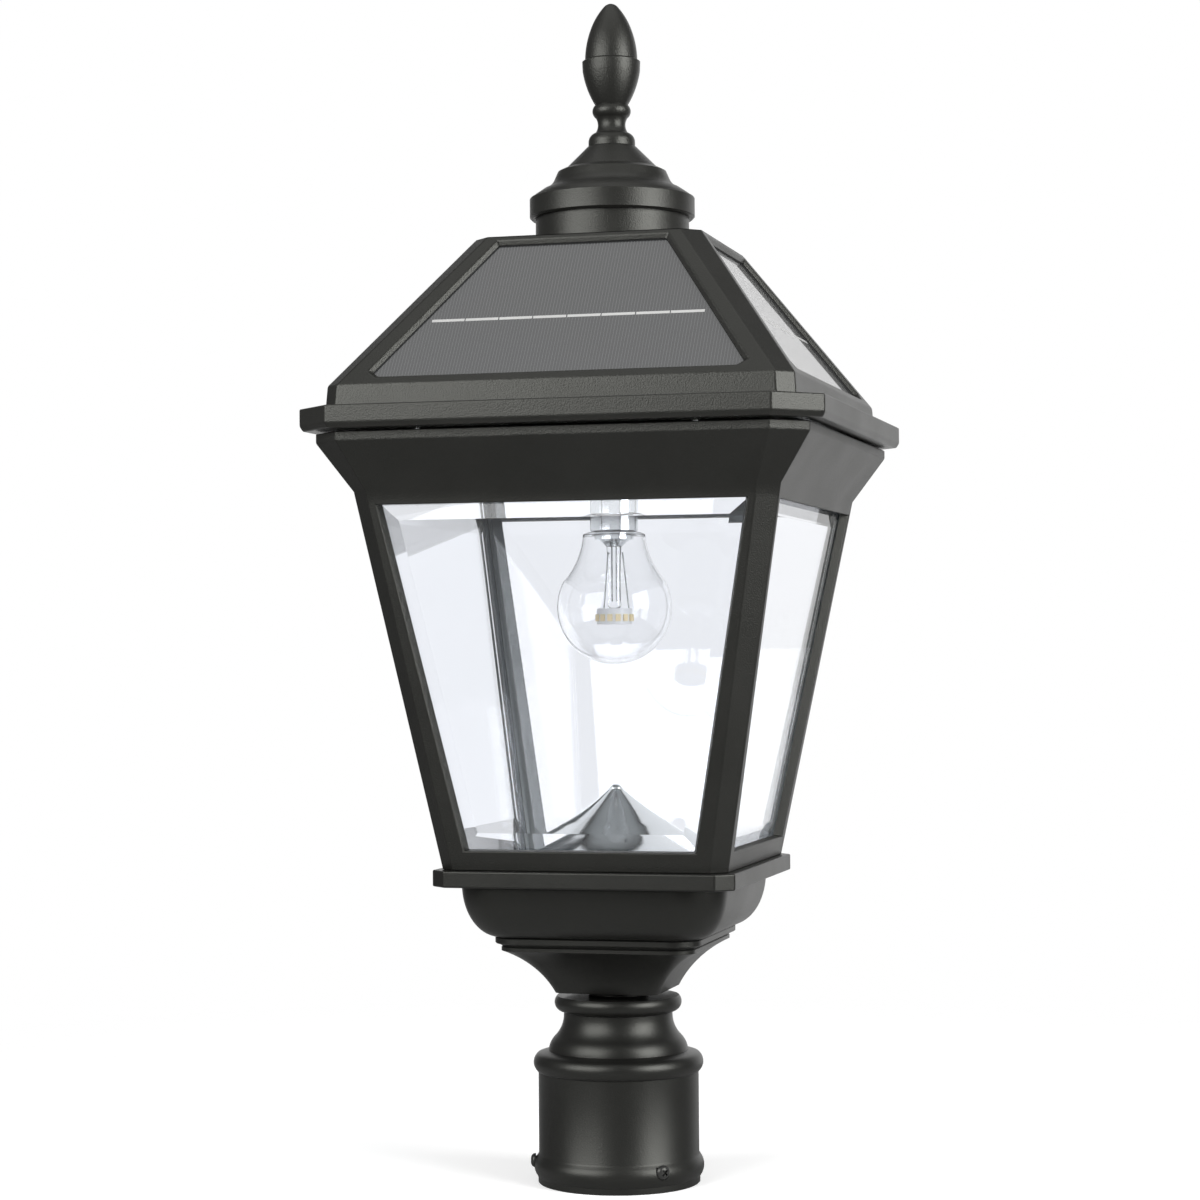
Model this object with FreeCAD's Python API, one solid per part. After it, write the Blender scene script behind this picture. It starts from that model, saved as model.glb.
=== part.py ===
"""Solar post top lantern: a square, tapered, glazed lantern on a round pole fitter.

Millimetres, +Z up. The origin is the centre of the fitter's mouth, where it slides down over
the pole. The front is the -Y side. Every sub-part is a shape of its own in parts/NODE.step.
"""
import FreeCAD, Part
import math
import os

V = FreeCAD.Vector
AXIS = V(0, 0, 1)
SIDES = {"front": 0, "right": 90, "back": 180, "left": 270}

# Clearances between pieces.
running_gap = 0.05          # a screw or stud turning in its hole
slip_gap = 0.3              # pieces that pass each other when they come apart
seat_gap = 0.6              # a pane in its rebate, a plate in its recess

# Pole fitter: a turned casting that slips over the pole.
pole_radius = 38.1
pole_gap = 0.35
fitter_wall = 3.2
fitter_lip = 0.45           # the mouth band stands this far proud of the plain barrel
bead_height = 2.5           # how far each bead stands out from the barrel
low_bead_z = 8.8
low_bead_drop = 5.6         # from the lower bead's crest down to its foot
low_bead_rise = 6.4
high_bead_z = 61.6
high_bead_drop = 4.4
high_bead_rise = 5.0
shoulder_lip = 0.7          # thin edge between the upper bead and the bell
shoulder_step = 1.0
bore_depth = 60.0
bell_radius = 36.3          # foot of the bell above the upper bead
bell_shoulder_radius = 32.8
bell_shoulder_rise = 7.3    # from the foot of the bell up to where its side turns hollow
waist_radius = 28.3
waist_z = 86.2
waist_band = 1.8
collar_radius = 33.05       # bead round the fitter's top
collar_half_height = 3.8
collar_step = 2.3
fitter_top_z = 96.5
fitter_top_wall = 4.0

# Clamp screws through the fitter's lower bead.
clamp_screw_z = 10.9
clamp_screw_radius = 2.5
clamp_head_radius = 3.6
clamp_head_height = 2.3
clamp_screw_count = 3
clamp_screw_turn = 45.0     # first screw, degrees from the front towards the right
clamp_tip_gap = 0.4         # the tip stands this far back from the pole
clamp_flat = 1.0            # the flat under each head stands this far out from the barrel

# Hollow threaded tube, its nuts and washers, and the spacer at the neck.
tube_radius = 4.86
tube_bore = 3.2
nut_flats = 17.0
nut_height = 5.5
washer_radius = 12.0
washer_thick = 1.6
spacer_radius = 15.5
spacer_height = 3.2

# Base casting: cove, two steps and a round-cornered bowl.
base_wall = 3.0
cove_foot_half = 27.3
cove_foot_corner = 5.3
cove_head_half = 50.8
cove_head_corner = 12.0
cove_height = 23.3
cove_sagitta = 3.0
low_step_height = 2.3
step_slope_height = 1.4
high_step_out = 3.1
high_step_height = 3.4
bowl_foot_in = 1.9          # the bowl springs from this far inside the upper step
bowl_half = 69.2
bowl_corner = 24.0
bowl_height = 27.1

# Tray: the plate between the bowl and the cage.
tray_overhang = 8.9         # the tray stands out this far from the bowl
tray_corner = 8.4
tray_height = 8.4
tray_plate = 3.4

# Cage: four sloping sides with a window each, a flared cornice and an upright rim.
cage_step = 4.3             # the tray stands out this far from the cage's foot
cage_foot_corner = 7.7
crease_half = 108.5
crease_corner = 9.6
crease_rise = 189.9         # from the tray up to the crease
cage_wall = 5.0
cage_corner_wall = 2.5
jamb_foot_width = 15.7      # from the window's edge to the side's full half width
jamb_head_width = 13.3
jamb_taper = 2.0            # each jamb of a window comes in by this much behind its edge
window_foot_rise = 10.0
head_bar = 7.3              # from the window's head up to the crease
sill_rise = 5.6             # ledge that carries the panes' lower edges
sill_shelf = 2.2            # how far the ledge reaches in past the panes
screw_web = 6.8             # metal left inside each tray screw at the corners of the cage's foot
cornice_height = 23.9
cornice_wall = 3.2
cornice_flare = 16.3        # how far the rim stands out from the crease
rim_corner = 16.3
rim_height = 4.6
ledge_height = 2.0          # inner ledge that the roof sits on
ledge_reach = 8.6
ledge_drop = 8.0            # from the top of the rim down to the ledge

# Bevelled glass panes, their corner clips and screws.
pane_thick = 4.0
pane_edge = 2.2
pane_bevel = 12.0
pane_overlap = 3.7
pane_setback = 4.2          # from the cage's outer face to the pane's outer face
clip_thick = 1.2
clip_reach = 10.3           # how far a clip reaches past the jamb at the window's head
clip_height = 14.6
clip_head_over = 9.1        # from the crease up to the clips' upper edge
clip_screw_drop = 4.6       # from the clips' upper edge to their screws
clip_corner = 10.0
clip_screw_radius = 1.5
clip_head_radius = 2.6
clip_head_height = 1.6
clip_boss_radius = 3.4
clip_boss_length = 13.0
clip_screw_grip = 6.0       # how far a clip's screw goes into its boss

# Screws that hold the tray to the cage.
cage_screw_inset = 10.2     # from the tray's recess in to the screws
cage_screw_radius = 2.0
cage_head_radius = 3.4
cage_head_height = 2.2
cage_screw_length = 9.0

# Spun mirror cone on the tray.
cone_sheet = 1.0
cone_tip_radius = 3.0
cone_tip_rise = 40.6
cone_mid_radius = 27.1
cone_mid_rise = 21.0
cone_sag = 0.74             # how hollow each half of the flare is
cone_foot_radius = 55.0
cone_foot_rise = 6.2
cone_flange = 6.0
cone_screw_radius = 1.4
cone_screw_head = 2.5
cone_screw_height = 1.5

# Roof casting: brim, upright skirt, four slopes with a window each, flat deck.
brim_gap = 1.2
brim_overhang = 7.7         # how far the brim stands out from the rim
brim_corner = 21.4
brim_height = 11.3
brim_lip = 2.5
brim_lip_in = 1.4
brim_wall = 3.0
skirt_step = 13.8           # from the brim's edge in to the skirt
skirt_draft = 0.8
skirt_corner = 7.9
skirt_height = 10.9
skirt_wall = 3.0
slope_run = 58.7            # level distance from the skirt's head in to the deck
deck_corner = 9.2
deck_rise = 78.4
deck_wall = 2.0
slope_wall = 2.4
spigot_wall = 2.4
panel_window_foot = 3.4
panel_window_head = 2.0
panel_margin_foot = 8.6
panel_margin_head = 6.8
panel_corner_cut = 5.2
panel_taper = 2.4           # the opening narrows by this much down to the panel
panel_thick = 3.2
panel_overlap = 3.0
seal_thick = 0.4
seal_width = 2.4

# Crown: drum, stepped cap, threaded stud and urn finial.
drum_radius = 40.1
drum_height = 15.2
drum_wall = 3.0
cap_radius = 43.15
cap_rim_height = 11.0
cap_wall = 3.0
cap_cone_height = 26.7      # from the top of the cap's rim to its small top face
cap_lip = 1.2
cap_apron_radius = 35.9     # steps of the cap, each with its rise above the cap's rim
cap_apron_rise = 4.5
cap_hollow_radius = 29.9
cap_hollow_rise = 10.2
cap_hollow_sag = 0.7
cap_shoulder_radius = 28.4
cap_shoulder_rise = 13.6
cap_ledge_radius = 25.8
cap_ledge_rise = 14.9
cap_cone_radius = 24.0
cap_cone_rise = 15.6
cap_top_radius = 12.9
stud_radius = 3.0
stud_grip = 22.0
stud_tail = 16.0
finial_foot_radius = 12.2
finial_foot_height = 2.4
finial_neck_radius = 7.2
finial_neck_foot = 7.2      # heights above the finial's foot, here and below
finial_neck_middle = 11.2
finial_neck_head = 15.2
finial_knop_radius = 10.0
finial_knop_middle = 19.2
finial_knop_head = 21.9
finial_cup_radius = 12.6
finial_cup_middle = 30.4
finial_cup_head = 39.6
finial_urn_radius = 15.2
finial_urn_height = 44.6
finial_lid_step = 1.0
finial_lid_radius = 12.3
finial_lid_middle = 56.4
finial_lid_head_radius = 8.9
finial_lid_head = 65.8
finial_point_radius = 6.2
finial_point_middle = 70.3
finial_point_head_radius = 3.4
finial_point_head = 73.8
finial_nose = 0.4           # drop from the tip to where the nose is half as wide as its foot
finial_height = 75.3

# Roof-locking grub screws in the rim.
lock_screw_radius = 2.0
lock_screw_sink = 0.4
lock_screw_drop = 2.1
lock_slot_gap = 0.4
lock_slot_width = 0.6
lock_slot_depth = 0.8

# Ceiling plate under the roof, with its screws.
ceiling_rise = 4.0          # above the cage's inner ledge
ceiling_thick = 2.5
boss_radius = 4.5
boss_side = 70.0
boss_inset = 3.2            # from the ceiling plate's edge in to its screws
ceiling_screw_radius = 1.6
ceiling_head_radius = 3.0
ceiling_head_height = 1.8
ceiling_screw_length = 12.0

# Lamp: socket, sleeve, clear envelope, glass stem and the ring of light chips.
socket_wall = 3.2
socket_height = 22.0
socket_flange = 24.0
socket_flange_thick = 2.0
sleeve_radius = 12.5
sleeve_wall = 0.7
sleeve_foot_z = 338.0
sleeve_cap = 2.0
bulb_radius = 30.0
bulb_centre_z = 298.5
bulb_wall = 0.8
bulb_shoulder_radius = 16.3
bulb_shoulder_z = 336.2
bulb_flank_radius = 19.1
bulb_flank_z = 324.2
bulb_join_radius = 26.9
stem_radius = 4.0
stem_foot_z = 300.0
stem_collar_radius = 10.2
stem_collar_z = 333.8
stem_collar_height = 2.3
stem_cone_height = 3.6
ring_radius = 9.3
ring_wall = 1.2
ring_height = 8.2
ring_foot_z = 289.5
chip_count = 14
chip_width = 2.6
chip_height = 3.6
chip_thick = 0.7
chip_drop = 0.7             # the chips sit this far below the ring's middle
wire_radius = 0.35
wire_count = 3
wire_head_z = 327.0

# Battery, circuit board and slide switch on top of the ceiling plate.
cell_radius = 9.0
cell_length = 65.0
cell_pitch = 20.0
holder_wall = 1.6
holder_height = 12.0
battery_offset = 55.0
board_length = 70.0
board_width = 40.0
board_thick = 1.6
board_stand = 6.0
board_offset = 55.0
switch_length = 14.0
switch_width = 8.0
switch_height = 6.0
switch_offset = 84.0
knob_length = 4.0
knob_width = 3.2
knob_depth = 3.0
knob_travel = 4.0

# Levels and half widths, worked out from the sizes above.
fitter_bore = pole_radius + pole_gap
barrel_radius = fitter_bore + fitter_wall
tray_half = bowl_half + tray_overhang
cage_foot_half = tray_half - cage_step
rim_half = crease_half + cornice_flare
brim_half = rim_half + brim_overhang
skirt_foot_half = brim_half - skirt_step
skirt_head_half = skirt_foot_half - skirt_draft
deck_half = skirt_head_half - slope_run
cove_foot_z = fitter_top_z + spacer_height
cove_head_z = cove_foot_z + cove_height
slope_foot_z = cove_head_z + low_step_height
slope_head_z = slope_foot_z + step_slope_height
bowl_foot_z = slope_head_z + high_step_height
tray_foot_z = bowl_foot_z + bowl_height
tray_z = tray_foot_z + tray_height
crease_z = tray_z + crease_rise
rim_foot_z = crease_z + cornice_height
rim_z = rim_foot_z + rim_height
ledge_z = rim_z - ledge_drop
brim_foot_z = rim_z + brim_gap
brim_z = brim_foot_z + brim_height
skirt_z = brim_z + skirt_height
deck_z = skirt_z + deck_rise
drum_z = deck_z + drum_height
cap_rim_z = drum_z + cap_rim_height
cap_z = cap_rim_z + cap_cone_height
finial_z = cap_z + slip_gap
ceiling_z = ledge_z + ceiling_rise
ceiling_top_z = ceiling_z + ceiling_thick


def save(node, shape):
    """Write one sub-part."""
    shape.exportStep("parts/" + node + ".step")


def fused(shapes):
    """One solid from solids that share material."""
    return shapes[0].multiFuse(shapes[1:]).removeSplitter()


def turned_arc(start, middle, end):
    """An arc to turn about the axis, as a free curve where its own centre is across the axis."""
    arc = Part.Arc(start, middle, end)
    edge = arc.toShape()
    centre = edge.Curve.Center.x
    if abs(centre) > 1e-4 and centre < edge.Curve.Radius:
        return arc.toBSpline().toShape()
    return edge


def turned(start, steps):
    """A solid of revolution. A step is (r, z) for a line or (r, z, r, z) for an arc."""
    edges = []
    last = V(start[0], 0, start[1])
    for step in steps + [start]:
        end = V(step[-2], 0, step[-1])
        if (end - last).Length < 1e-6:
            continue
        if len(step) == 4:
            edges.append(turned_arc(last, V(step[0], 0, step[1]), end))
        else:
            edges.append(Part.LineSegment(last, end).toShape())
        last = end
    face = Part.Face(Part.Wire(edges))
    return face.revolve(V(0, 0, 0), AXIS, 360)


def cut_square(half, corner, z):
    """A level square with its corners cut, as a wire."""
    flat = half - corner
    points = [(flat, -half), (half, -flat), (half, flat), (flat, half),
              (-flat, half), (-half, flat), (-half, -flat), (-flat, -half), (flat, -half)]
    return Part.makePolygon([V(x, y, z) for x, y in points])


def prismoid(*levels):
    """A solid through cut squares, each given as (half, corner, z), with flat sides."""
    steps = []
    for low, high in zip(levels, levels[1:]):
        steps.append(Part.makeLoft([cut_square(*low), cut_square(*high)], True, True))
    return fused(steps) if len(steps) > 1 else steps[0]


def round_square(half, radius, z):
    """A level square with round corners, as a wire."""
    edges = []
    flat = half - radius
    for turn in range(4):
        def place(x, y):
            angle = math.radians(90 * turn)
            return V(x * math.cos(angle) - y * math.sin(angle),
                     x * math.sin(angle) + y * math.cos(angle), z)
        middle = flat + radius * math.sqrt(0.5)
        edges.append(Part.LineSegment(place(-flat, -half), place(flat, -half)).toShape())
        edges.append(Part.Arc(place(flat, -half), place(middle, -middle),
                              place(half, -flat)).toShape())
    return Part.Wire(edges)


def moulding(levels, smooth):
    """A solid through round-cornered squares, each given as (half, radius, z)."""
    return Part.makeLoft([round_square(*level) for level in levels], True, not smooth)


def rod(radius, start, end):
    """A round bar from one point to another."""
    along = end - start
    return Part.makeCylinder(radius, along.Length, start, along)


def hexagon(flats, height, z):
    """An upright six-sided prism."""
    across = flats / math.sqrt(3)
    points = [V(across * math.cos(math.radians(60 * k)), across * math.sin(math.radians(60 * k)), z)
              for k in range(7)]
    return Part.Face(Part.makePolygon(points)).extrude(V(0, 0, height))


def around(shape, angle):
    """A copy turned about the lantern's axis."""
    copy = shape.copy()
    copy.rotate(V(0, 0, 0), AXIS, angle)
    return copy


def four(shape):
    """The shape and its three copies, a quarter turn apart."""
    return [around(shape, angle) for angle in SIDES.values()]


def radial(angle, radius, z):
    """A point by its angle from the front, its distance from the axis and its height."""
    turn = math.radians(angle)
    return V(radius * math.sin(turn), -radius * math.cos(turn), z)


class FacePlane:
    """The sloping front face through two level edges, with plates laid out in it."""

    def __init__(self, low_half, low_z, high_half, high_z):
        self.low_half = low_half
        self.low_z = low_z
        self.lean = (high_half - low_half) / (high_z - low_z)
        length = math.hypot(self.lean, 1.0)
        self.rise = 1.0 / length
        self.up = V(0, -self.lean / length, self.rise)
        self.inward = V(0, self.rise, self.lean / length)

    def half_at(self, z):
        return self.low_half + self.lean * (z - self.low_z)

    def inset(self, depth):
        """Level distance that moves the face inwards by a square depth."""
        return depth / self.rise

    def point(self, x, z, depth):
        along = (z - self.low_z) / self.rise
        start = V(x, -self.low_half, self.low_z)
        return start + self.up * along + self.inward * depth

    def plate(self, outline, depth, thick):
        """A flat plate with square edges. The outline is (x, z) on the outer face."""
        points = [self.point(x, z, depth) for x, z in outline]
        face = Part.Face(Part.makePolygon(points + points[:1]))
        return face.extrude(self.inward * thick)

    def opening(self, outline, back, wall):
        """A tapered hole through a wall, from its outline on the face to the one behind."""
        wires = []
        for share in (-1.0, 1.2):
            points = [self.point(x + share * (back_x - x), z + share * (back_z - z), share * wall)
                      for (x, z), (back_x, back_z) in zip(outline, back)]
            wires.append(Part.makePolygon(points + points[:1]))
        return Part.makeLoft(wires, True, True)

    def grown(self, outline, distance):
        """The outline moved outwards by a distance, corners kept sharp."""
        flat = [(x, (z - self.low_z) / self.rise) for x, z in outline]
        sides = []
        for (ax, ay), (bx, by) in zip(flat, flat[1:] + flat[:1]):
            length = math.hypot(bx - ax, by - ay)
            out = ((by - ay) / length, (ax - bx) / length)
            sides.append((out, out[0] * ax + out[1] * ay + distance))
        result = []
        for (first, one), (second, two) in zip(sides[-1:] + sides[:-1], sides):
            area = first[0] * second[1] - first[1] * second[0]
            x = (one * second[1] - two * first[1]) / area
            along = (two * first[0] - one * second[0]) / area
            result.append((x, self.low_z + along * self.rise))
        return result


cage_face = FacePlane(cage_foot_half, tray_z, crease_half, crease_z)
roof_face = FacePlane(skirt_head_half, skirt_z, deck_half, deck_z)


def cage_corner_at(z):
    share = (z - tray_z) / crease_rise
    return cage_foot_corner + (crease_corner - cage_foot_corner) * share


def cage_level(z, depth, corner):
    """A level of the cage's sides, moved inwards by a square depth."""
    return (cage_face.half_at(z) - cage_face.inset(depth), corner, z)


def inner_corner(half_out, corner_out, half_in, wall):
    """Corner cut of an inner square that leaves a given wall at the cut corners."""
    return max(2 * half_in - (2 * half_out - corner_out) + wall * math.sqrt(2), 0.5)


# ---- Fitter and what clamps it ------------------------------------------------------------

def fitter():
    mouth = barrel_radius + fitter_lip
    bead = barrel_radius + bead_height
    top_inside = waist_radius - fitter_wall
    low_bead_head = low_bead_z + low_bead_rise
    high_bead_head = high_bead_z + high_bead_rise
    bell_z = high_bead_head + shoulder_lip + shoulder_step
    shoulder_z = bell_z + bell_shoulder_rise
    hollow_radius = waist_radius + 0.28 * (bell_shoulder_radius - waist_radius)
    body = turned((fitter_bore, 0), [
        (mouth, 0), (mouth, low_bead_z - low_bead_drop),
        (bead, low_bead_z, barrel_radius + bead_height / 4, low_bead_head - bead_height / 2),
        (barrel_radius, low_bead_head), (barrel_radius, high_bead_z - high_bead_drop),
        (bead, high_bead_z, barrel_radius + fitter_lip, high_bead_head),
        ((barrel_radius + bell_radius + shoulder_step) / 2, high_bead_head + shoulder_lip),
        (bell_radius, bell_z),
        (bell_radius * 0.74 + bell_shoulder_radius * 0.26, bell_z + bell_shoulder_rise / 2,
         bell_shoulder_radius, shoulder_z),
        (hollow_radius, (shoulder_z + waist_z) / 2, waist_radius, waist_z),
        (waist_radius, waist_z + waist_band), (waist_radius + collar_step, waist_z + waist_band * 1.4),
        (collar_radius, fitter_top_z - collar_half_height, collar_radius - collar_step / 2, fitter_top_z),
        (tube_radius + slip_gap, fitter_top_z),
        (tube_radius + slip_gap, fitter_top_z - fitter_top_wall),
        (top_inside, fitter_top_z - fitter_top_wall), (top_inside, shoulder_z),
        (bell_shoulder_radius - fitter_wall, bell_z), (fitter_bore, bore_depth)])
    for angle in clamp_screw_angles():
        outside = radial(angle, bead + clamp_flat, clamp_screw_z)
        hole = rod(clamp_screw_radius + running_gap, radial(angle, pole_radius, clamp_screw_z), outside)
        flat = rod(clamp_head_radius + slip_gap, radial(angle, clamp_flat_radius(), clamp_screw_z), outside)
        body = body.cut([hole, flat])
    return body


def clamp_flat_radius():
    return barrel_radius + clamp_flat


def clamp_screw_angles():
    return [clamp_screw_turn + k * 360.0 / clamp_screw_count for k in range(clamp_screw_count)]


def cross_recess(centre, direction, size, depth):
    """The cross-shaped driver recess in a screw head, as a tool to cut with."""
    side = direction.cross(AXIS) if abs(direction.z) < 0.9 else V(1, 0, 0)
    side.normalize()
    other = direction.cross(side)
    bars = []
    for long, short in ((side, other), (other, side)):
        corner = centre - long * (size / 2) - short * (size / 8) - direction * depth
        points = [corner, corner + long * size, corner + long * size + short * (size / 4),
                  corner + short * (size / 4), corner]
        bars.append(Part.Face(Part.makePolygon(points)).extrude(direction * (2 * depth)))
    return fused(bars)


def pan_screw(tip, head_seat, shank, head, height):
    """A screw from its tip to the face under its head, with a domed head and a cross recess."""
    along = head_seat - tip
    profile_top = height + along.Length
    body = turned((0, 0), [(shank, 0), (shank, along.Length), (head, along.Length),
                           (head, along.Length + height * 0.35),
                           (head * 0.78, along.Length + height * 0.86, 0, profile_top)])
    body = body.cut(cross_recess(V(0, 0, profile_top), AXIS, head * 1.1, height * 0.5))
    body.Placement = FreeCAD.Placement(tip, FreeCAD.Rotation(AXIS, along))
    return body


def clamp_screw(angle):
    seat = clamp_flat_radius() + clamp_tip_gap + slip_gap
    return pan_screw(radial(angle, pole_radius + clamp_tip_gap, clamp_screw_z),
                     radial(angle, seat, clamp_screw_z),
                     clamp_screw_radius, clamp_head_radius, clamp_head_height)


def washer(z):
    return turned((tube_radius + slip_gap, z), [(washer_radius, z), (washer_radius, z + washer_thick),
                                                (tube_radius + slip_gap, z + washer_thick)])


def nut(z):
    return hexagon(nut_flats, nut_height, z).cut(
        Part.makeCylinder(tube_radius, nut_height, V(0, 0, z)))


lower_washer_z = fitter_top_z - fitter_top_wall - washer_thick
lower_nut_z = lower_washer_z - nut_height
upper_washer_z = tray_z
upper_nut_z = upper_washer_z + washer_thick


def threaded_tube():
    low = lower_nut_z - 3.0
    high = upper_nut_z + nut_height + 2.0
    return turned((tube_bore, low), [(tube_radius, low), (tube_radius, high), (tube_bore, high)])


def neck_spacer():
    hole = tube_radius + slip_gap
    edge = 0.5
    return turned((hole, fitter_top_z), [
        (spacer_radius - edge, fitter_top_z), (spacer_radius, fitter_top_z + edge),
        (spacer_radius, cove_foot_z - edge), (spacer_radius - edge, cove_foot_z),
        (hole, cove_foot_z)])


# ---- Base casting, tray and mirror cone ---------------------------------------------------

def cove_levels(wall, count):
    """Levels of the cove's hollow curve, moved inwards by a wall."""
    run = cove_head_half - cove_foot_half
    chord = math.hypot(run, cove_height)
    radius = chord * chord / (8 * cove_sagitta) + cove_sagitta / 2
    reach = radius - cove_sagitta
    centre_half = (cove_foot_half + cove_head_half) / 2 + reach * cove_height / chord
    centre_z = (cove_foot_z + cove_head_z) / 2 - reach * run / chord
    first = math.atan2(cove_foot_z - centre_z, cove_foot_half - centre_half)
    last = math.atan2(cove_head_z - centre_z, cove_head_half - centre_half)
    levels = []
    for step in range(count):
        angle = first + (last - first) * step / (count - 1)
        half = centre_half + (radius + wall) * math.cos(angle)
        share = step / (count - 1)
        corner = cove_foot_corner + (cove_head_corner - cove_foot_corner) * share
        levels.append((half, max(corner - wall, 1.0), centre_z + (radius + wall) * math.sin(angle)))
    return levels


bowl_foot_half = cove_head_half + high_step_out - bowl_foot_in


def bowl_levels(wall, count):
    """Levels of the bowl's quarter oval, from its foot to the tray, moved inwards by a wall."""
    levels = []
    for step in range(count):
        angle = math.radians(90.0 * (1 - step / (count - 1)))
        half = bowl_foot_half + (bowl_half - bowl_foot_half - wall) * math.cos(angle)
        foot_corner = cove_head_corner + high_step_out - bowl_foot_in
        share = math.cos(angle)
        corner = foot_corner + (bowl_corner - foot_corner) * share - wall * share
        levels.append((half, corner, tray_foot_z - (bowl_height - wall) * math.sin(angle)))
    return levels


def base_casting():
    high_half = cove_head_half + high_step_out
    high_corner = cove_head_corner + high_step_out
    outside = fused([
        moulding(cove_levels(0, 5), True),
        moulding([(cove_head_half, cove_head_corner, cove_head_z),
                  (cove_head_half, cove_head_corner, slope_foot_z)], False),
        moulding([(cove_head_half, cove_head_corner, slope_foot_z),
                  (high_half, high_corner, slope_head_z)], False),
        moulding([(high_half, high_corner, slope_head_z),
                  (high_half, high_corner, bowl_foot_z)], False),
        moulding(bowl_levels(0, 6), True)])
    floor_z = cove_foot_z + base_wall
    cove = [level for level in cove_levels(base_wall, 7) if level[2] > floor_z]
    bowl = bowl_levels(base_wall, 6)
    throat = (cove[-1][0], cove[-1][1], bowl[0][2])
    inside = fused([moulding([cove[0][:2] + (floor_z,), cove[0]], False),
                    moulding(cove, True), moulding([cove[-1], throat], False),
                    moulding(bowl, True)])
    hole = Part.makeCylinder(tube_radius + slip_gap, base_wall * 3, V(0, 0, cove_foot_z - base_wall))
    return outside.cut(inside).cut(hole)


def tray():
    plate_foot = tray_z - tray_plate
    body = prismoid((tray_half, tray_corner, tray_foot_z), (tray_half, tray_corner, tray_z))
    recess = moulding([(bowl_half - base_wall, bowl_corner - base_wall, tray_foot_z),
                       (bowl_half - base_wall, bowl_corner - base_wall, plate_foot)], False)
    body = body.cut(recess)
    holes = [Part.makeCylinder(tube_radius + slip_gap, tray_height, V(0, 0, tray_foot_z))]
    for point in cage_screw_points(plate_foot):
        holes.append(Part.makeCylinder(cage_screw_radius + running_gap, tray_plate, point))
    for angle in cone_screw_angles():
        holes.append(Part.makeCylinder(cone_screw_radius, tray_plate,
                                       radial(angle, cone_screw_place(), plate_foot)))
    return body.cut(holes)


def cage_screw_place():
    return bowl_half - base_wall - cage_screw_inset


def cage_screw_points(z):
    place = cage_screw_place()
    return [V(x, y, z) for x in (-place, place) for y in (-place, place)]


def cage_screws():
    seat = tray_z - tray_plate
    screws = []
    for point in cage_screw_points(seat):
        tip = point + V(0, 0, cage_screw_length)
        screws.append(pan_screw(tip, point, cage_screw_radius, cage_head_radius, cage_head_height))
    return Part.makeCompound(screws)


def cone_screw_angles():
    return [60.0, 180.0, 300.0]


def cone_screw_place():
    return cone_foot_radius + cone_flange / 2


def cone_flare(inward):
    """Five points down the cone's hollow side, moved inwards by the sheet's thickness."""
    top = (cone_tip_radius * 1.13, tray_z + cone_tip_rise - cone_tip_radius * 0.73)
    middle = (cone_mid_radius, tray_z + cone_mid_rise)
    foot = (cone_foot_radius, tray_z + cone_foot_rise)
    points = []
    for (low_r, low_z), (high_r, high_z) in ((top, middle), (middle, foot)):
        points.append((low_r, low_z))
        length = math.hypot(high_r - low_r, high_z - low_z)
        points.append(((low_r + high_r) / 2 - cone_sag * (low_z - high_z) / length,
                       (low_z + high_z) / 2 - cone_sag * (high_r - low_r) / length))
    points.append(foot)
    slope = math.atan2(cone_tip_rise - cone_foot_rise, cone_foot_radius)
    return [(r - inward * math.sin(slope), z - inward * math.cos(slope)) for r, z in points]


def mirror_cone():
    """Spun sheet: a rounded tip, a hollow-sided flare, a short wall and a flat flange."""
    flange = cone_foot_radius + cone_flange
    sheet = cone_sheet
    outer = cone_flare(0)
    inner = cone_flare(sheet)
    tip = tray_z + cone_tip_rise
    shoulder = (cone_tip_radius * 0.75, tip - cone_tip_radius * 0.12)
    shell = turned((0, tip), [
        shoulder + outer[0], outer[1] + outer[2], outer[3] + outer[4],
        (cone_foot_radius, tray_z + sheet), (flange, tray_z + sheet), (flange, tray_z),
        (cone_foot_radius - sheet, tray_z), inner[4],
        inner[3] + inner[2], inner[1] + inner[0], (0, tip - 1.4 * sheet)])
    for angle in cone_screw_angles():
        shell = shell.cut(Part.makeCylinder(cone_screw_radius + running_gap, sheet,
                                            radial(angle, cone_screw_place(), tray_z)))
    return shell


def cone_screws():
    screws = []
    for angle in cone_screw_angles():
        seat = radial(angle, cone_screw_place(), tray_z + cone_sheet)
        tip = radial(angle, cone_screw_place(), tray_z - tray_plate)
        screws.append(pan_screw(tip, seat, cone_screw_radius, cone_screw_head, cone_screw_height))
    return Part.makeCompound(screws)


# ---- Cage and glazing ---------------------------------------------------------------------

window_foot_z = tray_z + window_foot_rise
window_head_z = crease_z - head_bar
window_foot_half = cage_face.half_at(window_foot_z) - jamb_foot_width
window_head_half = cage_face.half_at(window_head_z) - jamb_head_width
sill_z = tray_z + sill_rise


def window_outline(inwards=0.0):
    """A window of the cage, with its jambs moved inwards by a distance."""
    foot = window_foot_half - inwards
    head = window_head_half - inwards
    return [(-foot, window_foot_z), (foot, window_foot_z), (head, window_head_z), (-head, window_head_z)]


def pane_back():
    return pane_setback + pane_thick


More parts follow.
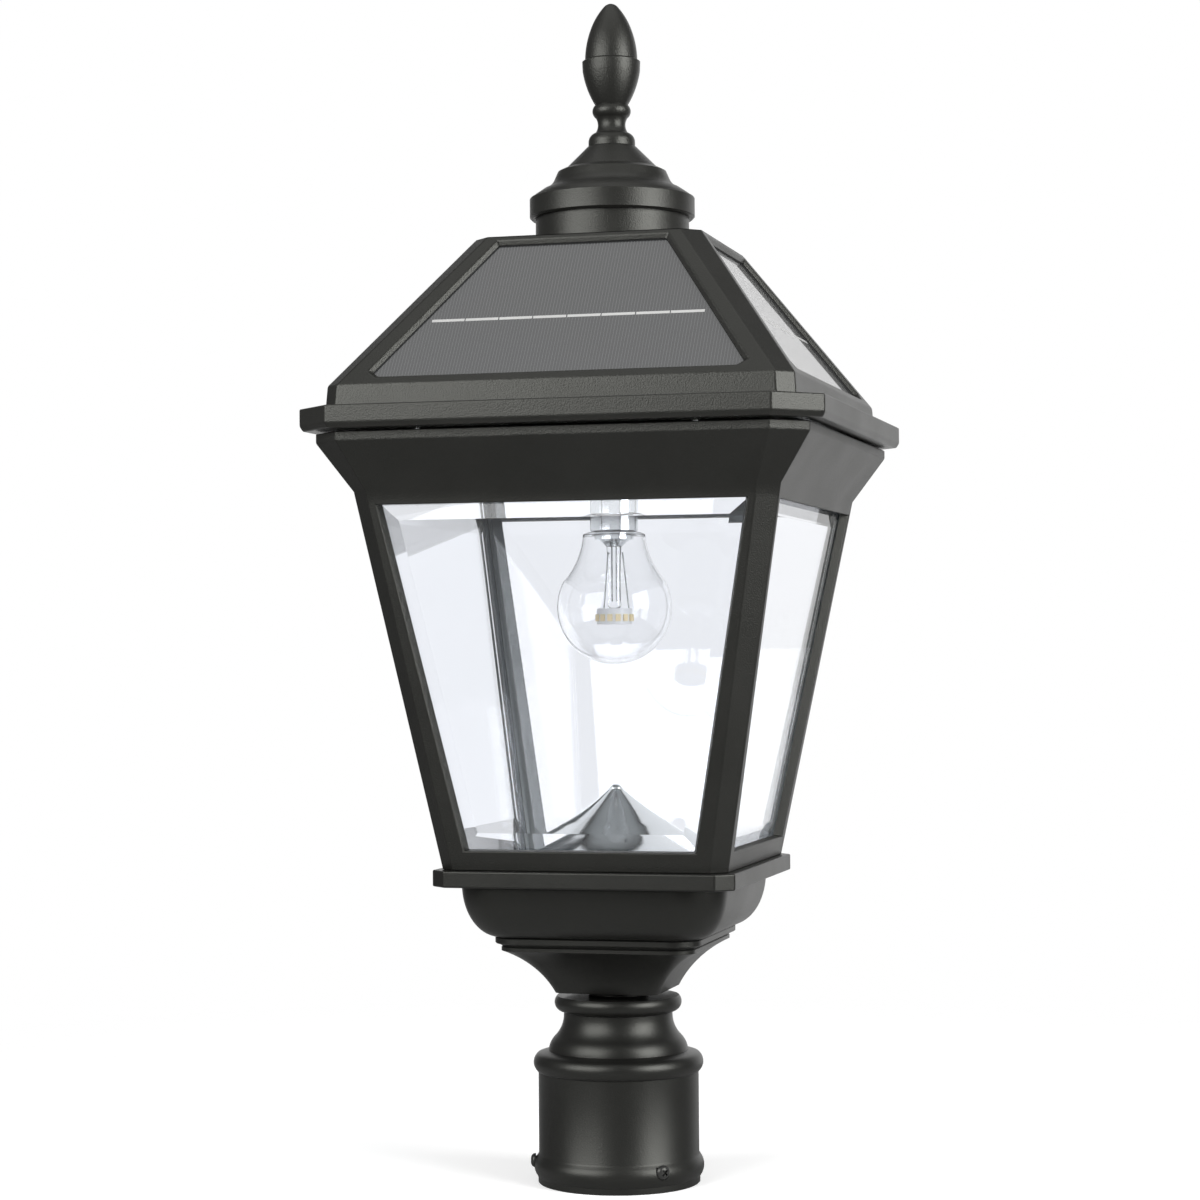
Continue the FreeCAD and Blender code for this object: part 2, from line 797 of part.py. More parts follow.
def cage():
    outside = prismoid((cage_foot_half, cage_foot_corner, tray_z),
                       (crease_half, crease_corner, crease_z),
                       (rim_half, rim_corner, rim_foot_z), (rim_half, rim_corner, rim_z))
    sill_half = cage_face.half_at(sill_z)
    inner_sill = sill_half - cage_face.inset(cage_wall)
    inner_crease = crease_half - cage_face.inset(cage_wall)
    inner_rim = rim_half - cornice_wall
    sill_cut = inner_corner(sill_half, cage_corner_at(sill_z), inner_sill, cage_corner_wall)
    crease_cut = inner_corner(crease_half, crease_corner, inner_crease, cage_corner_wall)
    rim_cut = inner_corner(rim_half, rim_corner, inner_rim, cornice_wall)
    inside = prismoid((inner_sill, sill_cut, sill_z), (inner_crease, crease_cut, crease_z),
                      (inner_rim, rim_cut, rim_foot_z), (inner_rim, rim_cut, rim_z))
    floor_half = sill_half - cage_face.inset(pane_back() + sill_shelf)
    floor_corner = 2 * (floor_half - cage_screw_place()) + screw_web * math.sqrt(2)
    floor = prismoid((floor_half, floor_corner, tray_z), (floor_half, floor_corner, sill_z))
    body = outside.cut(inside).cut(floor)
    window = cage_face.opening(window_outline(), window_outline(jamb_taper), cage_wall)
    body = body.cut(four(window))
    body = fused([body, roof_ledge()] + clip_bosses())
    holes = [rod(lock_screw_radius + running_gap, V(side * (inner_rim - cornice_wall), 0, lock_screw_z()),
                 V(side * (rim_half + cornice_wall), 0, lock_screw_z())) for side in (-1, 1)]
    for point in cage_screw_points(tray_z):
        holes.append(Part.makeCylinder(cage_screw_radius, cage_screw_length - tray_plate, point))
    return body.cut(holes + clip_screw_holes(clip_screw_radius))


def roof_ledge():
    """Ring inside the cornice that the roof's spigot sits on."""
    share = (ledge_z - crease_z) / cornice_height
    corner = crease_corner + (rim_corner - crease_corner) * share
    reach = rim_half - cornice_wall - ledge_reach
    foot = ledge_z - ledge_height
    ring = prismoid((cornice_inner_half(foot) + cornice_wall / 2, corner, foot),
                    (cornice_inner_half(ledge_z) + cornice_wall / 2, corner, ledge_z))
    return ring.cut(prismoid((reach, corner, foot), (reach, corner, ledge_z)))


CORNERS = (45, 135, 225, 315)


def clip_direction(angle):
    """Square to the sloping corner face of a clip, outwards."""
    level = radial(angle, 1.0, 0)
    return (level - AXIS * (cage_face.lean * math.sqrt(2))).normalize()


def clip_point(angle, depth):
    """Where a clip's screw crosses the corner face that lies at a depth behind the panes' face."""
    z = crease_z + clip_head_over - clip_screw_drop
    half = cage_face.half_at(z) - cage_face.inset(pane_back() + slip_gap) - clip_corner / 2
    return radial(angle, half * math.sqrt(2), z) - clip_direction(angle) * depth


def clip_bosses():
    return [rod(clip_boss_radius, clip_point(angle, 0), clip_point(angle, -clip_boss_length))
            for angle in CORNERS]


def clip_screw_holes(radius):
    return [rod(radius, clip_point(angle, 2 * clip_thick), clip_point(angle, -clip_screw_grip))
            for angle in CORNERS]


def glass_clips():
    """Four bent steel corner plates, each bearing on two panes."""
    head = crease_z + clip_head_over
    foot = head - clip_height
    near = pane_back() + slip_gap
    far = near + clip_thick
    far_corner = clip_corner + 2 * (cage_face.inset(near) - cage_face.inset(far)) \
        + clip_thick * math.hypot(math.sqrt(2), 2 * cage_face.lean)
    ring = prismoid(cage_level(foot, near, clip_corner), cage_level(head, near, clip_corner))
    ring = ring.cut(prismoid(cage_level(foot - clip_thick, far, far_corner),
                             cage_level(head + clip_thick, far, far_corner)))
    edge = window_head_half - clip_reach
    size = rim_half
    clips = []
    for x in (edge, -edge - size):
        for y in (edge, -edge - size):
            corner = Part.makeBox(size, size, 2 * clip_height, V(x, y, foot - clip_height / 2))
            clips.append(ring.common(corner))
    holes = clip_screw_holes(clip_screw_radius + running_gap)
    return Part.makeCompound([clip.cut(holes) for clip in clips])


def clip_screws():
    screws = []
    for angle in CORNERS:
        tip = clip_point(angle, -clip_screw_grip)
        seat = clip_point(angle, clip_thick)
        screws.append(pan_screw(tip, seat, clip_screw_radius, clip_head_radius, clip_head_height))
    return Part.makeCompound(screws)


def pane():
    """Bevelled plate glass for the front window."""
    edge = cage_face.grown(window_outline(), pane_overlap)
    flat = cage_face.grown(edge, -pane_bevel)
    edge_depth = pane_back() - pane_edge
    wires = []
    for outline, depth in ((edge, edge_depth), (flat, pane_setback)):
        points = [cage_face.point(x, z, depth) for x, z in outline]
        wires.append(Part.makePolygon(points + points[:1]))
    bevelled = Part.makeLoft(wires, True, True)
    return fused([bevelled, cage_face.plate(edge, edge_depth, pane_edge)])


# ---- Roof ---------------------------------------------------------------------------------

def roof_corner_at(z):
    return skirt_corner + (deck_corner - skirt_corner) * (z - skirt_z) / deck_rise


def panel_outline():
    """The window in a roof slope: a trapezium with its lower corners cut."""
    foot = skirt_z + panel_window_foot
    head = deck_z - panel_window_head
    cut = foot + panel_corner_cut * 0.65
    hip_cut = roof_face.half_at(cut) - roof_corner_at(cut) - panel_margin_foot
    hip_head = roof_face.half_at(head) - roof_corner_at(head) - panel_margin_head
    foot_half = hip_cut - panel_corner_cut
    return [(-foot_half, foot), (foot_half, foot), (hip_cut, cut), (hip_head, head),
            (-hip_head, head), (-hip_cut, cut)]


def panel_inner_outline():
    """The same window where its sloping edge meets the panel."""
    return roof_face.grown(panel_outline(), -panel_taper)


def cornice_inner_half(z):
    """Half width inside the flared cornice at a level."""
    crease = crease_half - cage_face.inset(cage_wall)
    return crease + (rim_half - cornice_wall - crease) * (z - crease_z) / cornice_height


def spigot_half():
    return cornice_inner_half(ledge_z + slip_gap) - seat_gap


def roof_shell():
    spigot = spigot_half()
    spigot_cut = inner_corner(rim_half, rim_corner, spigot, rim_half - spigot)
    spigot_foot = ledge_z + slip_gap
    outside = fused([
        prismoid((brim_half - brim_lip_in, brim_corner, brim_foot_z),
                 (brim_half, brim_corner, brim_foot_z + brim_lip), (brim_half, brim_corner, brim_z)),
        prismoid((skirt_foot_half, skirt_corner, brim_z), (skirt_head_half, skirt_corner, skirt_z),
                 (deck_half, deck_corner, deck_z))])
    channel_half = brim_half - brim_wall
    channel = prismoid((channel_half, brim_corner, brim_foot_z),
                       (channel_half, brim_corner, brim_z - brim_wall))
    outside = outside.cut(channel)
    spigot_root = brim_z - brim_wall / 2
    outside = fused([outside, prismoid((spigot, spigot_cut, spigot_foot), (spigot, spigot_cut, spigot_root))])
    inner_skirt = skirt_foot_half - skirt_wall
    slope_in = roof_face.inset(slope_wall)
    turn_z = skirt_z + (inner_skirt - (skirt_head_half - slope_in)) / roof_face.lean
    deck_in_z = deck_z - deck_wall
    spigot_in = spigot - spigot_wall
    inside = fused([
        prismoid((spigot_in, spigot_cut, spigot_foot), (spigot_in, spigot_cut, brim_z - brim_wall)),
        prismoid((inner_skirt, skirt_corner, brim_z - brim_wall), (inner_skirt, skirt_corner, turn_z),
                 (roof_face.half_at(deck_in_z) - slope_in, deck_corner, deck_in_z))])
    body = outside.cut(inside)
    body = body.cut(four(roof_face.opening(panel_outline(), panel_inner_outline(), slope_wall)))
    slot = lock_screw_radius + lock_slot_gap
    notches = []
    for side in (-1, 1):
        low = side * (spigot_in + spigot) / 2 - spigot_wall
        notches.append(Part.makeBox(2 * spigot_wall, 2 * slot, lock_screw_z() + slot - spigot_foot,
                                    V(low, -slot, spigot_foot)))
    bosses = [Part.makeCylinder(boss_radius, brim_z + brim_wall - ceiling_top_z, point)
              for point in boss_points(ceiling_top_z)]
    body = fused([body.cut(notches)] + bosses)
    holes = [Part.makeCylinder(ceiling_screw_radius, ceiling_screw_length, point)
             for point in boss_points(ceiling_z)]
    holes.append(Part.makeCylinder(stud_radius + running_gap, deck_wall, V(0, 0, deck_z - deck_wall)))
    return body.cut(holes)


def ceiling_half():
    return spigot_half() - spigot_wall - seat_gap


def boss_points(z):
    reach = ceiling_half() - boss_inset
    return [V(x, y, z) for x in (-boss_side, boss_side) for y in (-reach, reach)]


def solar_panel():
    outline = roof_face.grown(panel_inner_outline(), panel_overlap)
    return roof_face.plate(outline, slope_wall + seal_thick, panel_thick)


def panel_seal():
    """Flat foam ring between a panel and the underside of the slope."""
    outer = roof_face.grown(panel_inner_outline(), panel_overlap)
    inner = roof_face.grown(outer, -seal_width)
    ring = roof_face.plate(outer, slope_wall, seal_thick)
    return ring.cut(roof_face.plate(inner, slope_wall - 1, seal_thick + 2))


def lock_screw_z():
    return rim_z - lock_screw_drop


def lock_screw(side):
    """Headless screw through the rim; its tip stands in a slot of the roof's spigot."""
    tip = spigot_half() - spigot_wall
    length = rim_half - lock_screw_sink - tip
    chamfer = lock_screw_radius / 4
    body = turned((0, 0), [(lock_screw_radius - chamfer, 0), (lock_screw_radius, chamfer),
                           (lock_screw_radius, length), (0, length)])
    slot = Part.makeBox(2 * lock_screw_radius, lock_slot_width, 2 * lock_slot_depth,
                        V(-lock_screw_radius, -lock_slot_width / 2, length - lock_slot_depth))
    body = body.cut(slot)
    start = V(side * tip, 0, lock_screw_z())
    body.Placement = FreeCAD.Placement(start, FreeCAD.Rotation(AXIS, V(side, 0, 0)))
    return body


# ---- Crown --------------------------------------------------------------------------------

def crown_drum():
    inside = drum_radius - drum_wall
    return turned((inside, deck_z), [(drum_radius, deck_z), (drum_radius, drum_z), (inside, drum_z)])


def crown_cap():
    """Stepped turned cap over the drum, hollow underneath."""
    inside = drum_radius - drum_wall - cap_wall
    hollow_r = (cap_apron_radius + cap_hollow_radius) / 2 - cap_hollow_sag
    hollow_z = cap_rim_z + (cap_apron_rise + cap_hollow_rise) / 2 - cap_hollow_sag
    outer = [
        (cap_radius - cap_lip, drum_z), (cap_radius, drum_z + cap_lip), (cap_radius, cap_rim_z - cap_lip),
        (cap_radius - cap_lip * 0.25, cap_rim_z - cap_lip * 0.2, cap_radius - cap_lip, cap_rim_z),
        (cap_radius - 2 * cap_lip, cap_rim_z + cap_lip), (cap_apron_radius, cap_rim_z + cap_apron_rise),
        (hollow_r, hollow_z, cap_hollow_radius, cap_rim_z + cap_hollow_rise),
        (cap_shoulder_radius, cap_rim_z + cap_shoulder_rise),
        (cap_ledge_radius, cap_rim_z + cap_ledge_rise),
        (cap_cone_radius, cap_rim_z + cap_cone_rise), (cap_top_radius, cap_z)]
    hole = stud_radius + running_gap
    inner = [(hole, cap_z), (hole, cap_z - 2 * cap_wall),
             (cap_top_radius - cap_wall / 2, cap_z - 2 * cap_wall),
             (cap_cone_radius - cap_wall / 2, cap_rim_z + cap_hollow_rise),
             (cap_hollow_radius - cap_wall, cap_rim_z + cap_apron_rise),
             (inside, cap_rim_z - cap_wall), (inside, drum_z)]
    return turned((inside, drum_z), outer + inner)


def finial():
    """Turned urn finial: foot, neck, knop, cup and pointed lid."""
    foot = finial_z
    neck_foot_radius = finial_neck_radius + 1.4
    neck_head_radius = finial_neck_radius + 1.1
    knop_foot_radius = finial_knop_radius - 1.5
    body = turned((0, foot), [
        (finial_foot_radius, foot), (finial_foot_radius, foot + finial_foot_height),
        (finial_foot_radius - 0.6, foot + (finial_foot_height + finial_neck_foot) / 2,
         neck_foot_radius, foot + finial_neck_foot),
        (finial_neck_radius, foot + finial_neck_middle, neck_head_radius, foot + finial_neck_head),
        (finial_knop_radius, foot + finial_knop_middle, knop_foot_radius, foot + finial_knop_head),
        (finial_cup_radius, foot + finial_cup_middle, finial_urn_radius - 0.2, foot + finial_cup_head),
        (finial_urn_radius, foot + finial_urn_height),
        (finial_urn_radius - 1.5 * finial_lid_step, foot + finial_urn_height + finial_lid_step),
        (finial_lid_radius, foot + finial_lid_middle, finial_lid_head_radius, foot + finial_lid_head),
        (finial_point_radius, foot + finial_point_middle,
         finial_point_head_radius, foot + finial_point_head),
        (finial_point_head_radius / 2, foot + finial_height - finial_nose, 0, foot + finial_height)])
    bore = Part.makeCylinder(stud_radius + running_gap, stud_grip + finial_lid_step, V(0, 0, foot))
    return body.cut(bore)


def crown_stud():
    return Part.makeCylinder(stud_radius, finial_z + stud_grip - deck_z + stud_tail,
                             V(0, 0, deck_z - stud_tail))


def crown_washer():
    z = deck_z - deck_wall - washer_thick
    return turned((stud_radius + running_gap, z), [(washer_radius, z), (washer_radius, z + washer_thick),
                                                   (stud_radius + running_gap, z + washer_thick)])


def crown_nut():
    height = 2 * stud_radius * 0.85
    z = deck_z - deck_wall - washer_thick - height
    return hexagon(stud_radius * 3.4, height, z).cut(Part.makeCylinder(stud_radius, height, V(0, 0, z)))


# ---- Ceiling plate and electrics ----------------------------------------------------------

socket_bore = sleeve_radius + slip_gap
socket_outer = socket_bore + socket_wall
sleeve_head_z = ceiling_top_z + socket_height - sleeve_cap - slip_gap


def ceiling_plate():
    half = ceiling_half()
    corner = inner_corner(rim_half, rim_corner, half, rim_half - half) + seat_gap
    plate = prismoid((half, corner, ceiling_z), (half, corner, ceiling_top_z))
    holes = [Part.makeCylinder(socket_outer + seat_gap, ceiling_thick, V(0, 0, ceiling_z))]
    for point in boss_points(ceiling_z):
        holes.append(Part.makeCylinder(ceiling_screw_radius + running_gap, ceiling_thick, point))
    slot_length = knob_length + knob_travel + 2 * slip_gap
    slot_width = knob_width + 2 * slip_gap
    holes.append(Part.makeBox(slot_length, slot_width, ceiling_thick,
                              V(-knob_length / 2 - slip_gap, switch_offset - slot_width / 2, ceiling_z)))
    return plate.cut(holes)


def ceiling_screws():
    screws = []
    for point in boss_points(ceiling_z):
        tip = point + V(0, 0, ceiling_screw_length)
        screws.append(pan_screw(tip, point, ceiling_screw_radius, ceiling_head_radius, ceiling_head_height))
    return Part.makeCompound(screws)


def lamp_socket():
    """Moulded holder: a tube through the ceiling plate, a flange under it and a closed top."""
    top = ceiling_top_z + socket_height
    flange_z = ceiling_z - socket_flange_thick
    return turned((0, top), [
        (socket_outer, top), (socket_outer, ceiling_z), (socket_flange, ceiling_z),
        (socket_flange, flange_z + 0.6), (socket_flange - 0.6, flange_z), (socket_bore, flange_z),
        (socket_bore, top - sleeve_cap), (0, top - sleeve_cap)])


def bulb_sleeve():
    """Drawn metal sleeve that the bulb turns by; a closed cup, open downwards."""
    inside = sleeve_radius - sleeve_wall
    return turned((0, sleeve_head_z), [
        (sleeve_radius - 1.0, sleeve_head_z), (sleeve_radius, sleeve_head_z - 1.0),
        (sleeve_radius, sleeve_foot_z), (inside, sleeve_foot_z),
        (inside, sleeve_head_z - sleeve_wall), (0, sleeve_head_z - sleeve_wall)])


def bulb_profile(wall):
    """Outline of the clear envelope from its neck to its lowest point, moved in by a wall."""
    radius = bulb_radius - wall
    join = bulb_join_radius - wall
    join_z = bulb_centre_z + math.sqrt(radius * radius - join * join)
    low = math.radians(-35)
    return [(bulb_shoulder_radius - wall - 2.0, bulb_shoulder_z - wall * 0.3 + 0.9,
             bulb_shoulder_radius - wall, bulb_shoulder_z - wall),
            (bulb_flank_radius - wall, bulb_flank_z, join, join_z),
            (radius * math.cos(low), bulb_centre_z + radius * math.sin(low),
             0, bulb_centre_z - radius)]


def bulb_glass():
    neck = sleeve_radius - sleeve_wall - running_gap
    head = sleeve_foot_z + 8.0
    shoulder = sleeve_foot_z - 0.3
    outer = [(neck, head), (neck, shoulder)] + bulb_profile(0)
    thin = bulb_wall
    inner = turned((0, head), [(neck - thin, head), (neck - thin, shoulder - thin)] + bulb_profile(thin))
    return turned((0, head), outer).cut(inner)


def stem_collar():
    """Metal collar that carries the glass stem, with a short cone under it."""
    top = stem_collar_z + stem_collar_height
    return turned((0, top), [
        (stem_collar_radius, top), (stem_collar_radius, stem_collar_z),
        (stem_collar_radius - 2.5, stem_collar_z - 0.6),
        (stem_radius + 0.4, stem_collar_z - stem_cone_height),
        (0, stem_collar_z - stem_cone_height)])


def glass_stem():
    head = stem_collar_z - stem_cone_height
    return turned((0, head), [
        (stem_radius, head),
        (stem_radius - 0.6, (head + stem_foot_z) / 2, stem_radius - 0.4, stem_foot_z + 2),
        (stem_radius - 1.2, stem_foot_z + 0.6, 0, stem_foot_z)])


def light_ring():
    """White ring that carries the light chips."""
    head = ring_foot_z + ring_height
    inside = ring_radius - ring_wall
    return turned((inside, ring_foot_z), [(ring_radius, ring_foot_z), (ring_radius, head), (inside, head)])


def light_chips():
    middle = ring_foot_z + ring_height / 2 - chip_drop
    chip = Part.makeBox(chip_width, chip_thick, chip_height,
                        V(-chip_width / 2, -ring_radius - chip_thick, middle - chip_height / 2))
    chips = [around(chip, 360.0 * k / chip_count) for k in range(chip_count)]
    return Part.makeCompound(chips)


def ring_wires():
    """Stiff wires from the stem down to the inside of the ring."""
    foot_radius = ring_radius - ring_wall - wire_radius
    wires = []
    for k in range(wire_count):
        angle = 90.0 + 360.0 * k / wire_count
        start = radial(angle, stem_radius + wire_radius + 0.15, wire_head_z)
        end = radial(angle, foot_radius, ring_foot_z + ring_height - 0.5)
        wires.append(rod(wire_radius, start, end))
    return Part.makeCompound(wires)


def battery_cells():
    cells = []
    z = ceiling_top_z + holder_wall + cell_radius + slip_gap
    for side in (-0.5, 0.5):
        y = -battery_offset + side * cell_pitch
        body = turned((0, 0), [(cell_radius, 0), (cell_radius, cell_length - 1.5),
                               (cell_radius - 1.2, cell_length - 0.6), (3.0, cell_length - 0.6),
                               (3.0, cell_length), (0, cell_length)])
        body.Placement = FreeCAD.Placement(V(-cell_length / 2, y, z), FreeCAD.Rotation(AXIS, V(1, 0, 0)))
        cells.append(body)
    return Part.makeCompound(cells)


def battery_holder():
    """Open moulded box screwed to the ceiling plate, with a saddle under each cell."""
    inner_length = cell_length + 2 * slip_gap + 2.0
    inner_width = cell_pitch + 2 * cell_radius + 2 * slip_gap
    length = inner_length + 2 * holder_wall
    width = inner_width + 2 * holder_wall
    box = Part.makeBox(length, width, holder_height,
                       V(-length / 2, -battery_offset - width / 2, ceiling_top_z))
    well = Part.makeBox(inner_length, inner_width, holder_height,
                        V(-inner_length / 2, -battery_offset - inner_width / 2, ceiling_top_z + holder_wall))
    return box.cut(well)


def circuit_board():
    z = ceiling_top_z + board_stand
    board = Part.makeBox(board_length, board_width, board_thick,
                         V(-board_length / 2, board_offset - board_width / 2, z))
    return board


def board_posts():
    """Short moulded posts that carry the circuit board."""
    posts = []
    for x in (-1, 1):
        for y in (-1, 1):
            place = V(x * (board_length / 2 - 5), board_offset + y * (board_width / 2 - 5), ceiling_top_z)
            posts.append(Part.makeCylinder(2.6, board_stand, place))
    return Part.makeCompound(posts)


def board_parts():
    """The larger components on the circuit board."""
    z = ceiling_top_z + board_stand + board_thick
    coil = Part.makeCylinder(6.0, 7.0, V(-20, board_offset, z))
    chip = Part.makeBox(8.0, 6.0, 1.6, V(-4, board_offset - 3, z))
    capacitor = Part.makeCylinder(4.0, 10.0, V(18, board_offset + 6, z))
    plug = Part.makeBox(8.0, 6.0, 6.0, V(14, board_offset - 12, z))
    return Part.makeCompound([coil, chip, capacitor, plug])


def switch_housing():
    length = switch_length + knob_travel
    floor = 1.2
    body = Part.makeBox(length, switch_width, switch_height,
                        V(-length / 2 + knob_travel / 2, switch_offset - switch_width / 2, ceiling_top_z))
    well = Part.makeBox(knob_length * 1.5 + knob_travel + 2 * slip_gap, knob_width + 2 * slip_gap,
                        switch_height - floor,
                        V(-knob_length * 0.75 - slip_gap, switch_offset - knob_width / 2 - slip_gap,
                          ceiling_top_z))
    return body.cut(well)


def switch_knob():
    """Slider: a wide foot inside the housing and a thumb nib below the ceiling plate."""
    nib = Part.makeBox(knob_length, knob_width, knob_depth + ceiling_thick + 1.0,
                       V(-knob_length / 2, switch_offset - knob_width / 2, ceiling_z - knob_depth))
    foot = Part.makeBox(knob_length * 1.5, knob_width, 2.0,
                        V(-knob_length * 0.75, switch_offset - knob_width / 2, ceiling_top_z + slip_gap))
    return fused([nib, foot])


# ---- Write every sub-part -----------------------------------------------------------------

os.makedirs("parts", exist_ok=True)

save("fitter", fitter())
for number, screw_angle in enumerate(clamp_screw_angles(), 1):
    save("clamp_screw_%d" % number, clamp_screw(screw_angle))
save("threaded_tube", threaded_tube())
save("lower_tube_nut", nut(lower_nut_z))
save("lower_tube_washer", washer(lower_washer_z))
save("upper_tube_nut", nut(upper_nut_z))
save("upper_tube_washer", washer(upper_washer_z))
save("neck_spacer", neck_spacer())
save("base_casting", base_casting())
save("tray", tray())
save("mirror_cone", mirror_cone())
save("mirror_cone_screws", cone_screws())
save("cage", cage())
save("cage_screws", cage_screws())
for side_name, side_angle in SIDES.items():
    save("glass_pane_" + side_name, around(pane(), side_angle))
save("glass_clips", glass_clips())
save("glass_clip_screws", clip_screws())

save("roof_shell", roof_shell())
for side_name, side_angle in SIDES.items():
    save("solar_panel_" + side_name, around(solar_panel(), side_angle))
save("panel_seals", Part.makeCompound(four(panel_seal())))
save("lock_screw_left", lock_screw(-1))
save("lock_screw_right", lock_screw(1))
save("crown_drum", crown_drum())
save("crown_cap", crown_cap())
save("crown_stud", crown_stud())
save("crown_washer", crown_washer())
save("crown_nut", crown_nut())
save("finial", finial())

save("ceiling_plate", ceiling_plate())
save("ceiling_screws", ceiling_screws())
save("lamp_socket", lamp_socket())
save("bulb_sleeve", bulb_sleeve())
save("bulb_glass", bulb_glass())
save("bulb_stem_collar", stem_collar())
save("bulb_stem", glass_stem())
save("bulb_light_ring", light_ring())
save("bulb_light_chips", light_chips())
save("bulb_ring_wires", ring_wires())
save("battery_cells", battery_cells())
save("battery_holder", battery_holder())
save("circuit_board", circuit_board())
save("board_posts", board_posts())
save("board_parts", board_parts())
save("switch_housing", switch_housing())
save("switch_knob", switch_knob())
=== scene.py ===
import bpy
import bmesh
import math
from mathutils import Matrix, Vector


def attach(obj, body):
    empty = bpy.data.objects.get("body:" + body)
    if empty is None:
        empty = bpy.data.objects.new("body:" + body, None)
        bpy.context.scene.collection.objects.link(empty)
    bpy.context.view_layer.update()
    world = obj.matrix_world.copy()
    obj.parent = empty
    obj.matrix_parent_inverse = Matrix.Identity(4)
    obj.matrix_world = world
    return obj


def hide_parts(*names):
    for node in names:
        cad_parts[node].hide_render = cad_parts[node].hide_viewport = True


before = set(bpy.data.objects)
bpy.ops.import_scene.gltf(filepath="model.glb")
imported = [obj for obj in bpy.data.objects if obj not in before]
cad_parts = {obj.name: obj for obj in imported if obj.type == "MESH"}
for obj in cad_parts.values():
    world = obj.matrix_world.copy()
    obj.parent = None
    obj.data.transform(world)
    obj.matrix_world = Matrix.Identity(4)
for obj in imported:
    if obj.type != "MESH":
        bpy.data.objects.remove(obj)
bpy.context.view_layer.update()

# ---- Camera ---------------------------------------------------------------------------------
# Stands a little to the right of the lantern's front, level with the middle of its glass, and
# looks up by one degree. The angles and the focal length are those of the photograph.
camera_turn = math.radians(14.729)
camera_distance = 1.4825
camera_height = 0.27505
camera_pitch = math.radians(1.040)
camera_yaw = math.radians(-0.306)
camera_roll = math.radians(-0.417)
photo_width_px = 1200
focal_px = 2840.88
film_width_mm = 36

look = Vector((-math.sin(camera_turn), math.cos(camera_turn), 0))
right = Vector((math.cos(camera_turn), math.sin(camera_turn), 0))
above = Vector((0, 0, 1))
look, right = (look * math.cos(camera_yaw) + right * math.sin(camera_yaw),
               right * math.cos(camera_yaw) - look * math.sin(camera_yaw))
look, above = (look * math.cos(camera_pitch) + above * math.sin(camera_pitch),
               above * math.cos(camera_pitch) - look * math.sin(camera_pitch))
right, above = (right * math.cos(camera_roll) + above * math.sin(camera_roll),
                above * math.cos(camera_roll) - right * math.sin(camera_roll))
camera_data = bpy.data.cameras.new("photo_camera")
camera_data.sensor_width = film_width_mm
camera_data.lens = film_width_mm * focal_px / photo_width_px
camera = bpy.data.objects.new("photo_camera", camera_data)
bpy.context.scene.collection.objects.link(camera)
stand = Matrix((right, above, -look)).transposed().to_4x4()
stand.translation = Vector((camera_distance * math.sin(camera_turn),
                            -camera_distance * math.cos(camera_turn), camera_height))
camera.matrix_world = stand
bpy.context.scene.camera = camera


# ---- Pole fitter ----------------------------------------------------------------------------
# A turned aluminium casting, open below to slip over the post, with a bead near its mouth and
# one at its shoulder, a bell and a small top bead. Satin black powder coat with a fine grain.
MM = 0.001


def arc_points(start, middle, end, count):
    """Points after start along the arc through three (radius, height) points."""
    (ax, ay), (bx, by), (cx, cy) = start, middle, end
    spread = 2 * (ax * (by - cy) + bx * (cy - ay) + cx * (ay - by))
    ux = ((ax * ax + ay * ay) * (by - cy) + (bx * bx + by * by) * (cy - ay)
          + (cx * cx + cy * cy) * (ay - by)) / spread
    uy = ((ax * ax + ay * ay) * (cx - bx) + (bx * bx + by * by) * (ax - cx)
          + (cx * cx + cy * cy) * (bx - ax)) / spread
    radius = math.hypot(ax - ux, ay - uy)
    first = math.atan2(ay - uy, ax - ux)
    way = math.atan2(by - uy, bx - ux)
    last = math.atan2(cy - uy, cx - ux)
    turn = 2 * math.pi
    sweep = (last - first) % turn
    if (way - first) % turn > sweep:
        sweep -= turn
    return [(ux + radius * math.cos(first + sweep * k / count),
             uy + radius * math.sin(first + sweep * k / count)) for k in range(1, count + 1)]


def outline(start, *steps, fine=10):
    """An open outline. A step is (r, z) for a line or (r, z, r, z) for an arc, in millimetres."""
    points = [start]
    for step in steps:
        if len(step) == 4:
            points += arc_points(points[-1], step[:2], step[2:], fine)
        else:
            points.append(step)
    return points


def keep(name, work, sharp=30):
    """A finished object from a bmesh: doubles merged, faces outwards, smooth up to an angle."""
    bmesh.ops.remove_doubles(work, verts=work.verts, dist=1e-6)
    bmesh.ops.recalc_face_normals(work, faces=work.faces)
    mesh = bpy.data.meshes.new(name)
    work.to_mesh(mesh)
    work.free()
    mesh.shade_smooth()
    mesh.set_sharp_from_angle(angle=math.radians(sharp))
    piece = bpy.data.objects.new(name, mesh)
    bpy.context.scene.collection.objects.link(piece)
    return piece


def turned(name, points, around=128, sharp=30):
    """A closed outline in millimetres turned about the lantern's axis."""
    work = bmesh.new()
    rings = []
    for radius, height in points:
        if radius < 1e-6:
            rings.append([work.verts.new((0, 0, height * MM))])
            continue
        ring = []
        for k in range(around):
            angle = 2 * math.pi * k / around
            ring.append(work.verts.new((radius * MM * math.cos(angle),
                                        radius * MM * math.sin(angle), height * MM)))
        rings.append(ring)
    for low, high in zip(rings, rings[1:] + rings[:1]):
        for k in range(around):
            corners = [low[k % len(low)], low[(k + 1) % len(low)],
                       high[(k + 1) % len(high)], high[k % len(high)]]
            corners = list(dict.fromkeys(corners))
            if len(corners) > 2 and not (len(low) == 1 and len(high) == 1):
                work.faces.new(corners)
    return keep(name, work, sharp)


def blank_surface(name):
    """A new material with its nodes, its links and the shader that makes its surface."""
    material = bpy.data.materials.new(name)
    material.use_nodes = True
    nodes, links = material.node_tree.nodes, material.node_tree.links
    return material, nodes, links, nodes["Principled BSDF"]


